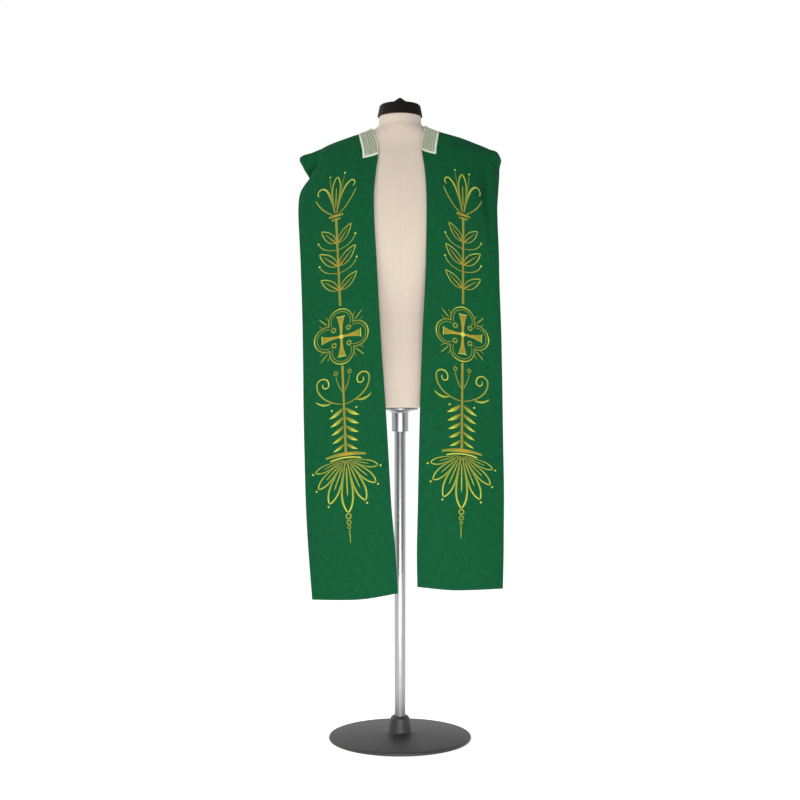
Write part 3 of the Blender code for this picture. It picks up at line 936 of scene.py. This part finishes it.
open_bead = motif("open_bead", [ring(4.6, 3.0)])
small_bead = motif("small_bead", [dot(2.6, rise=0.9)])
print("Motifs so far:", [made.name for made in motifs])

# %% [markdown]
# ## The design, laid out flat
#
# The design is built from the top down, on a line down the middle of the strip, with y at zero
# at its top. Every part on the right has its mirror image on the left.

# %% The lily at the top
# A tall bud, two petals that curl over, stamens between them, and two knots under it.
curl = bezier((2, -116), (10, -72), (22, -40), (39, -35), count=20)
curl = np.concatenate([curl, arc((39.5, -45), 10, 92, -60, 12)[1:]])
design = [placed(petal, (0, -114), size=1.32)]
lily_petal = motif("lily_petal", [satin(
    curl, (2.0, 4.2, 6.0, 4.8, 3.2, 2.4), (AMBER, GOLD, LIGHT, LIGHT), slant=0.8, pointed=0.04,
)])
stamen = motif("stamen", [satin(
    bezier((4, -96), (12, -60), (17, -36), (19, -14)), (2.2, 2.0, 1.8), (DEEP, GOLD), pointed=0.05,
)])
outer_petal = motif("outer_petal", [satin(
    bezier((4, -120), (26, -106), (42, -88), (54, -62)), (1.8, 3.0, 3.6, 2.6, 1.4), TO_TIP, pointed=0.05,
)])
for part in (lily_petal, stamen, outer_petal):
    design += on_both_sides(part)
design += on_both_sides(small_bead, (19.6, -8.5))
for half_length, y, width in ((19, -121, 5.6), (12, -130, 4.2)):
    design += [satin([(-half_length, y), (half_length, y)], width, (GOLD, AMBER, GOLD))]
print("The lily has", len(design), "parts")

# %% The stem with three pairs of open leaves
STEM_WIDTH = (6.0, 5.0, 5.0, 6.0)
STEM_TONE = (0.3, DEEP)
design += [satin([(0, -131), (0, -348)], STEM_WIDTH, STEM_TONE)]
for y, turn, size in ((-190, -42, 1.00), (-248, -46, 1.14), (-308, -50, 1.06)):
    design += on_both_sides(open_leaf, (3.0, y), turn, size)
tendril = motif("tendril", [satin(
    bezier((2, -208), (18, -206), (38, -200), (47, -182), count=18), (2.4, 2.2, 1.8), TO_TIP, pointed=0.05,
)])
for drop in (0, -58):
    design += on_both_sides(tendril, (0, drop))
    design += on_both_sides(small_bead, (48.5, -178.5 + drop))
print("With the stem,", len(design), "parts")

# %% The quatrefoil with a flared cross
# Its lobes meet at a point on each diagonal, where a ring and three rays stand.
MEDALLION = (0, -424)
LOBE_OUT, LOBE_RADIUS, INNER_LINE = 37.0, 31.0, 24.6
RING_OUT = 27  # from the middle of the cross
lobe = motif("lobe", [
    satin(arc((0, LOBE_OUT), LOBE_RADIUS, -14.5, 194.5, 60), 3.0, (*TO_TIP, GOLD, DEEP)),
    satin(arc((0, LOBE_OUT), INNER_LINE, -26, 206, 50), 1.8, GOLD, pointed=0.06),
])
arm = motif("arm", [
    satin([(0, 4), (0, 47)], (5.0, 6.4, 10, 19), (AMBER, 0.12, DEEP)),
    satin([(-11.5, 49.5), (0, 48.5), (11.5, 49.5)], 2.6, LIGHT, pointed=0.1),
])
side_ray = motif("side_ray", [satin([(0, 53), (0, 68)], (1.9, 1.1), GOLD, pointed=0.15)])
ray = motif("ray", [
    satin([(0, 50), (0, 78)], (2.8, 2.2, 1.2), (GOLD, LIGHT), pointed=0.15),
    placed(side_ray, turn=11),
    placed(side_ray, turn=-11),
])
for turn in (0, 90, 180, 270):
    design += [placed(part, MEDALLION, turn) for part in (lobe, arm)]
    design += [placed(ray, MEDALLION, turn + 45)]
    corner = Matrix.Rotation(math.radians(turn + 45), 2) @ Vector((0, RING_OUT))
    design += [placed(open_bead, (MEDALLION[0] + corner.x, MEDALLION[1] + corner.y), size=1.1)]
design += [placed(motif("boss", [dot(6.5, rise=1.7)]), MEDALLION)]
print("With the quatrefoil,", len(design), "parts")

# %% Scrolls and laurel
design += [satin([(0, -496), (0, -712)], STEM_WIDTH, STEM_TONE)]
scroll_line = np.concatenate([
    bezier((2, -592), (20, -590), (66, -574), (66, -536), count=26),
    arc((51, -536), 15, 0, 195, 22)[1:],
    arc((44, -538), 8, 195, 400, 16)[1:],
])
scroll_leaf = bezier((30, -584), (44, -590), (58, -588), (70, -576))
scroll = motif("scroll", [
    satin(scroll_line, (2.0, 3.5, 4.2, 3.7, 3.0, 2.3), (DEEP, GOLD, GOLD, LIGHT, LIGHT), pointed=0.03),
    satin(scroll_leaf, (2, 4.8, 5.8, 3.5, 1.3), (GOLD, LIGHT), pointed=0.08),
])
sprig = motif("sprig", [satin(
    bezier((3, -560), (10, -548), (16, -536), (17, -520)), (2.6, 2.4, 2.0), (DEEP, GOLD), pointed=0.05,
)])
for part in (scroll, sprig):
    design += on_both_sides(part)
design += on_both_sides(open_bead, (17.5, -513), size=0.9)
for k in range(5):
    design += on_both_sides(filled_leaf, (3.4, -602 - 22 * k), -122, 1.08 - 0.06 * k)
design += on_both_sides(small_bead, (31, -604))
print("With the scrolls and laurel,", len(design), "parts")

# %% The crosspiece, the palmette and the drop of rings
bar_line = bezier((-50, -722), (-22, -713), (22, -713), (50, -722))
design += [satin(bar_line, (5, 7.6, 8.4, 7.6, 5), (GOLD, DEEP, AMBER, DEEP, GOLD))]
design += [satin(bar_line * (0.78, 1) - (0, 8.5), 3.4, LIGHT)]
design += [placed(petal, (0, -730), 180, 1.72)]
for turn, size in ((202, 1.50), (225, 1.24), (250, 0.98)):
    root = (0.12 * (turn - 180), -730)
    beyond_tip = Matrix.Rotation(math.radians(turn), 2) @ Vector((0, PETAL * size + 7))
    design += on_both_sides(petal, root, turn, size)
    design += on_both_sides(small_bead, (root[0] + beyond_tip.x, root[1] + beyond_tip.y))
for y, size in ((-869, 1.3), (-884, 1.05), (-896, 0.8)):
    design += [placed(open_bead, (0, y), size=size)]
design += [satin([(0, -902), (0, -936)], (3.0, 2.3, 1.1), (GOLD, LIGHT), pointed=0.08)]
flat_design = joined("flat_design", design)
for made in motifs:
    bpy.data.objects.remove(made)

# %% [markdown]
# ## The embroidery on the cloth
#
# The flat design is laid on each half by its middle line, so it bends over the chest and into
# every fold as stitches do.

# %% Lay the design on both halves
DESIGN_TOP = 0.132  # from the shoulder line, along the cloth


def embroidered(name, half):
    """A copy of the flat design on the cloth of a half."""
    made = flat_design.copy()
    made.data = flat_design.data.copy()
    made.name = made.data.name = name
    bpy.context.scene.collection.objects.link(made)
    place = coordinates(made)
    row = half.row_at(DESIGN_TOP - place[:, 1])
    width = np.interp(row, np.arange(len(half.widths)), half.widths)
    column = COLUMNS * (0.5 + half.side * place[:, 0] / width)
    set_coordinates(made, half.laid(row, column, CLOTH + place[:, 2]))
    return made


stitching = {name: embroidered(f"embroidery_{name}", half) for name, half in halves.items()}
bpy.data.objects.remove(flat_design)
for made in stitching.values():
    heights = coordinates(made)[:, 2]
    print(made.name, "from", round(heights.max(), 3), "down to", round(heights.min(), 3), "m")

# %% [markdown]
# ## The dress form
#
# The form's body is a padded shell in a stretched cover. Its level cuts are the ones that the
# cloth lies on, and lower down a waist and hips of its own. A grid is wrapped round these cuts,
# its seam is merged and its two open ends are filled. The cover is sewn from panels, so a flat
# seam runs down its front, back and sides and between them, and one goes round the neck.

# %% The level cuts of the form
FORM_BOTTOM = 0.840
FORM_NECK = 1.576
BESIDE_ARMS = 1.497  # below this height the form is narrower than the cloth's level cuts
ELLIPSE = 2.0

# height, half width, depth in front, depth behind, squareness, where an ellipse has 2
BODY = np.array([
    (FORM_NECK, 0.0530, 0.0535, 0.0540, ELLIPSE), (BESIDE_ARMS, 0.1940, 0.0702, 0.0757, ELLIPSE),
    (1.4885, 0.2030, 0.0737, 0.0789, 2.00), (1.4750, 0.2085, 0.0804, 0.0849, 2.05),
    (1.4600, 0.2100, 0.0868, 0.0910, 2.10), (1.4400, 0.2090, 0.0950, 0.0980, 2.15),
    (1.4000, 0.2030, 0.1095, 0.1085, 2.20), (1.3500, 0.1920, 0.1225, 0.1165, 2.30),
    (1.3000, 0.1820, 0.1300, 0.1200, 2.40), (1.2500, 0.1750, 0.1325, 0.1190, 2.40),
    (1.2000, 0.1680, 0.1290, 0.1130, 2.35), (1.1300, 0.1540, 0.1160, 0.0990, 2.25),
    (1.0700, 0.1480, 0.1080, 0.0920, 2.20), (1.0000, 0.1560, 0.1100, 0.1000, 2.20),
    (0.9200, 0.1720, 0.1150, 0.1150, 2.25), (0.8700, 0.1750, 0.1140, 0.1190, 2.25),
    (FORM_BOTTOM, 0.1720, 0.1120, 0.1180, 2.25),
])
COVER_INSET = 0.0008  # clear of the cloth that rests on it
under_cloth = DRAPE[DRAPE[:, 0] > BESIDE_ARMS]
cuts = np.vstack([BODY, np.column_stack([under_cloth, np.full(len(under_cloth), ELLIPSE)])])
body_curves = [curve_through(cuts[:, 0], cuts[:, k]) for k in (1, 2, 3, 4)]


def on_form(height, angle, lift=0.0):
    """Points of the form at a height and an angle, counted from its right side to its back."""
    width, front, back, square = [curve(height) for curve in body_curves]
    inset = COVER_INSET * (1 - smooth_step(height, LEAN_END, LEVEL))
    c, s = np.cos(angle), np.sin(angle)
    depth = np.where(s > 0, back, front)
    x = (width - inset + lift) * np.sign(c) * np.abs(c) ** (2 / square)
    y = (depth - inset + lift) * np.sign(s) * np.abs(s) ** (2 / square)
    return np.stack([x, y, height - inset + SHOULDER_LEAN * x * lean_at(height)], -1)


print("The form's body has", len(cuts), "level cuts")

# %% The body of the form
ROUND = 144  # columns round the form
BOTTOM_ROLL = 0.006
TURNED_IN = 0.022  # how far the cover is turned in under the form
BOARD_GAP, BOARD_DEPTH = 0.001, 0.0015  # a step in the board that closes it

# rows lie close together where the cloth does, and further apart below
straight = np.concatenate([
    np.linspace(FORM_NECK, 1.560, 8), np.arange(1.5570, 1.4900, -0.0020),
    np.arange(1.4890, 1.4000, -0.0045), np.arange(1.3950, FORM_BOTTOM + BOTTOM_ROLL, -0.0090),
])
turn = np.radians(np.arange(0, 91, 15))
heights = np.concatenate([straight, FORM_BOTTOM + BOTTOM_ROLL * (1 - np.sin(turn))])
lifts = np.concatenate([0 * straight, -BOTTOM_ROLL * (1 - np.cos(turn))])
form_cover = flat_grid(ROUND, len(heights) - 1)
place = coordinates(form_cover)
row = np.rint((0.5 - place[:, 1]) * (len(heights) - 1)).astype(int)
set_coordinates(form_cover, on_form(heights[row], 2 * math.pi * place[:, 0], lifts[row]))
bpy.ops.object.mode_set(mode="EDIT")
merge_all()
bpy.ops.mesh.fill_holes(sides=0)
bpy.ops.mesh.normals_make_consistent(inside=False)

# the cover is glued under the form, where a plain board closes it
bpy.ops.mesh.select_mode(type="FACE")
bpy.ops.mesh.select_all(action="DESELECT")
bpy.ops.object.mode_set(mode="OBJECT")
for face in form_cover.data.polygons:
    face.select = face.normal.z < -0.99 and face.area > 0.01
bpy.ops.object.mode_set(mode="EDIT")
bpy.ops.mesh.inset(thickness=TURNED_IN)
bpy.ops.mesh.inset(thickness=BOARD_GAP, depth=-BOARD_DEPTH)
bpy.ops.mesh.select_mode(type="VERT")
bpy.ops.object.mode_set(mode="OBJECT")
print("Form:", len(heights), "rows of", ROUND, "and", len(form_cover.data.polygons), "faces")

# %% The seams of its cover
SEAM_WIDTH = 0.0026
SEAM_HEIGHT = 0.00045
SEAM_FALL = 0.7  # how far it falls off towards its sides
SEAM_SUNK = 0.001  # how far its under side lies inside the body
NEAR = (0.001, 0.01)  # a small step up and round, to find which way the form faces
PRINCESS = (58, 122, 238, 302)  # seams over the chest and the shoulder blades, in degrees
NECK_SEAM, SIDE_TOP, PRINCESS_TOP = 1.5595, 1.492, 1.552
MIDDLE_TOP = FORM_NECK - 0.002
SEAM_CELLS, NECK_CELLS = 110, 120


def laid_seam(height, angle, cells):
    """A flat seam along the form. Height and angle go from their first to their second value."""
    made = slab(cells, 2)
    place = coordinates(made)
    upright = height[0] != height[1]
    h, a = [start + (end - start) * place[:, 0] for start, end in (height, angle)]
    up = on_form(h + NEAR[0], a) - on_form(h - NEAR[0], a)
    along = on_form(h, a + NEAR[1]) - on_form(h, a - NEAR[1])
    up, along = [v / np.linalg.norm(v, axis=1, keepdims=True) for v in (up, along)]
    out = np.cross(along, up)
    crown = SEAM_HEIGHT * (1 - SEAM_FALL * place[:, 1] ** 2)
    rise = np.where(place[:, 2] > 0.5, crown, -SEAM_SUNK)
    side = place[:, 1] * SEAM_WIDTH / 2
    beside = along if upright else up
    set_coordinates(made, on_form(h, a) + beside * side[:, None] + out * rise[:, None])
    if upright:
        made.data.flip_normals()
    return made


tops = {90: MIDDLE_TOP, 270: MIDDLE_TOP, 0: SIDE_TOP, 180: SIDE_TOP}
tops.update({degrees: PRINCESS_TOP for degrees in PRINCESS})
seams = [
    laid_seam((top, FORM_BOTTOM + BOTTOM_ROLL), (math.radians(degrees),) * 2, SEAM_CELLS)
    for degrees, top in tops.items()
]
seams.append(laid_seam((NECK_SEAM, NECK_SEAM), (0, 2 * math.pi), NECK_CELLS))
form_cover = joined("form_body", [form_cover, *seams])

# %% [markdown]
# ## The cap, the pole and the foot
#
# These are turned parts: a low pointed cap on the neck, a flanged socket under the body, a pole
# and a heavy round foot. Half of each one's section is drawn as a line and spun about the
# upright axis, then a bevel softens its edges as moulding, turning and coating do.

# %% How a part is turned
TURN_STEPS = 96


def turned(name, profile, edge):
    """A closed shape spun from its profile of (radius, height), with edges this much rounded."""
    made = lines_through([[(radius, 0, height) for radius, height in profile]])
    bpy.ops.object.convert(target="MESH")
    made = bpy.context.object
    made.name = made.data.name = name
    bpy.ops.object.mode_set(mode="EDIT")
    bpy.ops.mesh.select_all(action="SELECT")
    bpy.ops.mesh.spin(steps=TURN_STEPS, angle=2 * math.pi, center=(0, 0, 0), axis=(0, 0, 1))
    merge_all()
    bpy.ops.mesh.normals_make_consistent(inside=False)
    bpy.ops.object.mode_set(mode="OBJECT")
    round_edges(made, edge, segments=3, degrees=28)
    return finished(made, degrees=35)


# %% Turned parts
POLE_RADIUS = 0.0140
FOOT_RADIUS = 0.180
FOOT_THICK = 0.012
MEETING = 0.0003  # between parts that meet
cap_foot = FORM_NECK + MEETING
flange_top = FORM_BOTTOM - BOARD_DEPTH - MEETING
socket_foot = flange_top - 0.060
pole_top = flange_top - 0.020 - MEETING
hub_top = FOOT_THICK + 0.045
bore = POLE_RADIUS + MEETING
turned_parts = {
    "form_neck_cap": turned("neck_cap", [
        (0, 1.6258), (0.003, 1.6247), (0.017, 1.6150), (0.022, 1.6118), (0.028, 1.6095),
        (0.040, 1.6076), (0.0480, 1.6064), (0.0514, 1.6038), (0.0528, 1.5990),
        (0.0566, cap_foot + 0.0030), (0.0571, cap_foot), (0, cap_foot),
    ], 0.0009),
    "form_socket": turned("pole_socket", [
        (0, flange_top), (0.046, flange_top), (0.046, flange_top - 0.0045),
        (0.0245, flange_top - 0.0085), (0.021, flange_top - 0.013), (0.021, socket_foot),
        (bore, socket_foot), (bore, pole_top + MEETING), (0, pole_top + MEETING),
    ], 0.0008),
    "form_pole": turned("pole", [
        (0, pole_top), (POLE_RADIUS, pole_top),
        (POLE_RADIUS, FOOT_THICK + MEETING), (0, FOOT_THICK + MEETING),
    ], 0.0010),
    "form_base": turned("round_foot", [
        (0, FOOT_THICK), (bore, FOOT_THICK), (bore, hub_top), (0.020, hub_top),
        (0.024, hub_top - 0.005), (0.030, FOOT_THICK + 0.006), (0.040, FOOT_THICK + 0.0032),
        (0.060, FOOT_THICK + 0.002), (FOOT_RADIUS - 0.006, FOOT_THICK - 0.003),
        (FOOT_RADIUS - 0.0015, FOOT_THICK - 0.0042), (FOOT_RADIUS, FOOT_THICK - 0.0065),
        (FOOT_RADIUS, 0.0018), (FOOT_RADIUS - 0.0018, 0), (0, 0),
    ], 0.0010),
}

# %% [markdown]
# ## The green cloth
#
# The cloth is a plain-woven polyester with a dry, linen-like hand, as vestment makers use. Such a
# weave looks matt and even from afar. Closer, it shows small thick places in the yarn, which run
# along and across. Its threads are about half a millimetre apart, and are drawn twice as coarse
# so that they show. Sheen gives the faint bloom that a fibrous cloth has at a slant.

# %% Plain-woven polyester
THREAD_SPACING = 0.0011
SLUBS = (620, 45)  # in a metre across and along the yarn, so 1.6 mm thick and 22 mm long
CLOUDS = 90  # swells in a metre, so about a centimetre each


def dress(pieces, material):
    """Gives each piece this material and no other."""
    for piece in pieces:
        piece.data.materials.clear()
        piece.data.materials.append(material)


weave, tree, shader = new_material(
    "plain_woven_polyester", Roughness=0.82, Sheen_Weight=0.015, Sheen_Roughness=0.5,
    Specular_IOR_Level=0.05, Sheen_Tint=linear("#9FD8B4"),
)
cut = add_node(tree, "ShaderNodeUVMap")
split = add_node(tree, "ShaderNodeSeparateXYZ", {0: cut})
waves = []
for axis in (0, 1):
    turns = add_node(
        tree, "ShaderNodeMath", {0: split.outputs[axis], 1: math.pi / THREAD_SPACING},
        operation="MULTIPLY",
    )
    waves.append(add_node(tree, "ShaderNodeMath", {0: turns}, operation="SINE"))
over_under = add_node(tree, "ShaderNodeMath", {0: waves[0], 1: waves[1]}, operation="MULTIPLY")
# thick places in the yarn: noise drawn out along the warp, and along the weft
slubs = []
for stretch in (SLUBS, SLUBS[::-1]):
    lay = add_node(tree, "ShaderNodeMapping", {"Vector": cut, "Scale": (*stretch, 1)})
    slubs.append(add_node(tree, "ShaderNodeTexNoise", {"Vector": lay, "Scale": 1.0, "Detail": 2.0}))
slub = add_node(tree, "ShaderNodeMath", {0: slubs[0], 1: slubs[1]}, operation="ADD")
# and a faint cloudiness, as dye takes unevenly
cloud = add_node(
    tree, "ShaderNodeTexNoise", {"Vector": cut, "Scale": CLOUDS, "Detail": 5.0, "Roughness": 0.7}
)
tone = add_node(tree, "ShaderNodeMath", {0: slub, 1: cloud}, operation="ADD")
tone = add_node(tree, "ShaderNodeMapRange", {"Value": tone, "From Min": 1.15, "From Max": 1.85})
green = add_node(
    tree, "ShaderNodeMix", {0: tone, 6: linear("#083E23"), 7: linear("#0D4E2D")}, data_type="RGBA"
)
height = add_node(tree, "ShaderNodeMath", {0: over_under, 1: slub}, operation="ADD")
bump = add_node(tree, "ShaderNodeBump", {"Height": height, "Strength": 0.5, "Distance": 0.00025})
tree.links.new(green.outputs[2], shader.inputs["Base Color"])
tree.links.new(bump.outputs[0], shader.inputs["Normal"])
dress(cloths.values(), weave)
print(weave.name, "drawn with", THREAD_SPACING * 1000, "mm between threads")

# %% [markdown]
# ## Lace and embroidery thread
#
# The lace is mercerised cotton, a little glossy and not quite white. The embroidery is rayon,
# the shiniest of the threads, and its look comes from hundreds of strands side by side: each
# column catches the light along its crown and falls dark at its sides. That dark, and the dark
# between the strands, are painted shade in the thread's colour. The strands are about
# 0.35 mm wide, and are drawn 0.8 mm wide so that they show.

# %% Mercerised cotton


def grained(name, colours, noise, bump, stretch=None, **surface):
    """A material whose colour and relief both follow one noise on the piece's own coordinates.

    The noise is how many swells it has in a metre and their detail, and the bump is its strength
    and its height in metres.
    """
    made, tree, shader = new_material(name, **surface)
    place = add_node(tree, "ShaderNodeTexCoord").outputs["Object"]
    if stretch:
        place = add_node(tree, "ShaderNodeMapping", {"Vector": place, "Scale": stretch})
    grain = add_node(
        tree, "ShaderNodeTexNoise", {"Vector": place, "Scale": noise[0], "Detail": noise[1]}
    )
    darker, lighter = [linear(colour) for colour in colours]
    colour = add_node(tree, "ShaderNodeMix", {0: grain, 6: darker, 7: lighter}, data_type="RGBA")
    relief = add_node(
        tree, "ShaderNodeBump", {"Height": grain, "Strength": bump[0], "Distance": bump[1]}
    )
    tree.links.new(colour.outputs[2], shader.inputs["Base Color"])
    tree.links.new(relief.outputs[0], shader.inputs["Normal"])
    return made, tree, shader, grain


# twisted fibres show as a faint mottle, drawn 1.1 mm long
cotton, *_ = grained(
    "mercerised_cotton_thread", ("#A9B39C", "#C4CCB5"), (900, 3), (0.6, 0.0003),
    Roughness=0.65, Sheen_Weight=0.2, Specular_IOR_Level=0.35,
)
dress(laces.values(), cotton)
print(cotton.name, "on", len(laces), "pieces")

# %% Rayon thread in satin stitch
STRAND = 0.0008
STRAY = (900, 60)  # uneven strands in a metre along and across a column, 1.1 mm by 17 mm
rayon, tree, shader = new_material(
    "rayon_satin_stitch", Roughness=0.42, Sheen_Weight=0.05, Specular_IOR_Level=0.4,
)
cut = add_node(tree, "ShaderNodeUVMap")
split = add_node(tree, "ShaderNodeSeparateXYZ", {0: cut})
turns = add_node(tree, "ShaderNodeMath", {0: split, 1: 2 * math.pi / STRAND}, operation="MULTIPLY")
strands = add_node(tree, "ShaderNodeMath", {0: turns}, operation="SINE")
lay = add_node(tree, "ShaderNodeMapping", {"Vector": cut, "Scale": (*STRAY, 1)})
stray = add_node(tree, "ShaderNodeTexNoise", {"Vector": lay, "Scale": 1.0, "Detail": 2.0})
# from amber in the heaviest fillings, over olive gold, to light yellow; the painted shade at a column's
# sides and a bead's flanks darkens the colour along this ramp
tone = add_node(tree, "ShaderNodeAttribute", attribute_name="tone")
ramp = add_node(tree, "ShaderNodeValToRGB", {"Fac": tone.outputs["Fac"]})
ramp.color_ramp.elements[0].color = linear("#A6880C")
ramp.color_ramp.elements[1].color = linear("#D0D666")
for position, colour in ((0.16, "#908610"), (0.32, "#767812"), (0.5, "#768418"), (0.8, "#A2AA38")):
    ramp.color_ramp.elements.new(position).color = linear(colour)
# painted shade between the strands, and now and then a lighter strand
painted_strand_shade = add_node(tree, "ShaderNodeMapRange", {
    "Value": strands, "From Min": -1.0, "From Max": 0.2, "To Min": 0.55, "To Max": 0.0,
})
shaded = add_node(tree, "ShaderNodeMix", {0: painted_strand_shade, 6: ramp, 7: linear("#5C5612")}, data_type="RGBA")
uneven = add_node(
    tree, "ShaderNodeMix", {0: stray, 6: shaded.outputs[2], 7: linear("#B4B448")},
    data_type="RGBA", blend_type="SOFT_LIGHT",
)
height = add_node(tree, "ShaderNodeMath", {0: strands, 1: stray}, operation="ADD")
bump = add_node(tree, "ShaderNodeBump", {"Height": height, "Strength": 0.6, "Distance": 0.00025})
tree.links.new(uneven.outputs[2], shader.inputs["Base Color"])
tree.links.new(bump.outputs[0], shader.inputs["Normal"])
dress(stitching.values(), rayon)
print(rayon.name, "on", len(stitching), "pieces")

# %% [markdown]
# ## The finishes of the form
#
# The form's body has a stretched cover of unbleached cotton jersey. Knit has fine ribs that run
# up and down, about 1.5 mm apart, and they follow the body round, so the pattern counts angle
# and not width. Each rib is a row of small V-shaped stitches. The cap on the neck is a hard
# moulded one in black ABS. The pole and its socket are steel, brushed round about, and the foot
# is powder-coated in black, which leaves a fine orange peel.

# %% Cotton jersey
RIBS_ROUND = 620  # in the cover's girth of about 0.95 m
COURSE = 0.0018
STITCH_SLANT = 2.4  # how far, in radians of a course, a stitch leads at the middle of its rib
COURSE_SHARE = 0.35  # of the relief, beside that of the ribs
FLECKS = 260  # in a metre, so about 4 mm apart
jersey, tree, shader = new_material(
    "unbleached_cotton_jersey", Roughness=0.88, Sheen_Weight=0.25, Specular_IOR_Level=0.2,
)
place = add_node(tree, "ShaderNodeTexCoord").outputs["Object"]
split = add_node(tree, "ShaderNodeSeparateXYZ", {0: place})
rib = add_node(
    tree, "ShaderNodeMath", {0: split.outputs["Y"], 1: split.outputs["X"]}, operation="ARCTAN2"
)
rib = add_node(tree, "ShaderNodeMath", {0: rib, 1: RIBS_ROUND / 2}, operation="MULTIPLY")
for operation in ("SINE", "ABSOLUTE"):
    rib = add_node(tree, "ShaderNodeMath", {0: rib}, operation=operation)
course = add_node(
    tree, "ShaderNodeMath", {0: split.outputs["Z"], 1: 2 * math.pi / COURSE}, operation="MULTIPLY"
)
# each stitch is a small V, so its course leads at the middle of a rib
course = add_node(
    tree, "ShaderNodeMath", {0: rib, 1: STITCH_SLANT, 2: course}, operation="MULTIPLY_ADD"
)
course = add_node(tree, "ShaderNodeMath", {0: course}, operation="SINE")
loops = add_node(
    tree, "ShaderNodeMath", {0: course, 1: COURSE_SHARE, 2: rib}, operation="MULTIPLY_ADD"
)
# unbleached yarn has small flecks of seed in it
fleck = add_node(
    tree, "ShaderNodeTexNoise", {"Vector": place, "Scale": FLECKS, "Detail": 4.0, "Roughness": 0.65}
)
cream = add_node(
    tree, "ShaderNodeMix", {0: fleck, 6: linear("#AC9F91"), 7: linear("#BFB2A5")}, data_type="RGBA"
)
bump = add_node(tree, "ShaderNodeBump", {"Height": loops, "Strength": 0.22, "Distance": 0.0004})
tree.links.new(cream.outputs[2], shader.inputs["Base Color"])
tree.links.new(bump.outputs[0], shader.inputs["Normal"])
dress([form_cover], jersey)
print(jersey.name, "with courses", COURSE * 1000, "mm apart")

# %% Moulded, brushed and powder-coated parts
# a mould's texture, with a soft grain of 8 mm
moulded, *_ = grained(
    "moulded_black_ABS", ("#0E0B09", "#1A1613"), (120, 4), (0.2, 0.0004),
    Roughness=0.60, Specular_IOR_Level=0.05,
)
# the orange peel of a powder coat, 2 mm from swell to swell
coated, *_ = grained(
    "powder_coated_steel", ("#191817", "#262524"), (480, 2), (0.35, 0.0005),
    Roughness=0.5, Specular_IOR_Level=0.5,
)
# brush lines run round, 2600 to the metre, and some are glossier than others
brushed, tree, shader, lines = grained(
    "brushed_steel", ("#8D8E90", "#B4B5B7"), (1, 3), (0.04, 0.0002), stretch=(40, 40, 2600),
    Metallic=1.0,
)
gloss = add_node(tree, "ShaderNodeMapRange", {"Value": lines, "To Min": 0.34, "To Max": 0.46})
tree.links.new(gloss.outputs[0], shader.inputs["Roughness"])

finishes = {
    "form_neck_cap": moulded, "form_socket": brushed, "form_pole": brushed, "form_base": coated,
}
for node_name, finish in finishes.items():
    dress([turned_parts[node_name]], finish)
print("Turned parts:", [finish.name for finish in finishes.values()])

# %% [markdown]
# ## Tying the pieces to the frame
#
# The form and the cloth are one body with no joints, so every piece rides on the root. Each one
# but the embroidery stands for a plain solid, which stays in the model for contact. Each half of
# the stole was cut flat before it was draped.

# %% Ride and replace
for name in halves:
    cloth, lace, made = cloths[name], laces[name], stitching[name]
    for piece, slot in ((cloth, "stole_cloth"), (lace, "lace"), (made, "stole_cloth")):
        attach(piece, "root")
    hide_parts(f"stole_{name}")
    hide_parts(f"lace_{name}")

for node_name, part in {**turned_parts, "form_torso": form_cover}.items():
    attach(part, "root")
    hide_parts(node_name)
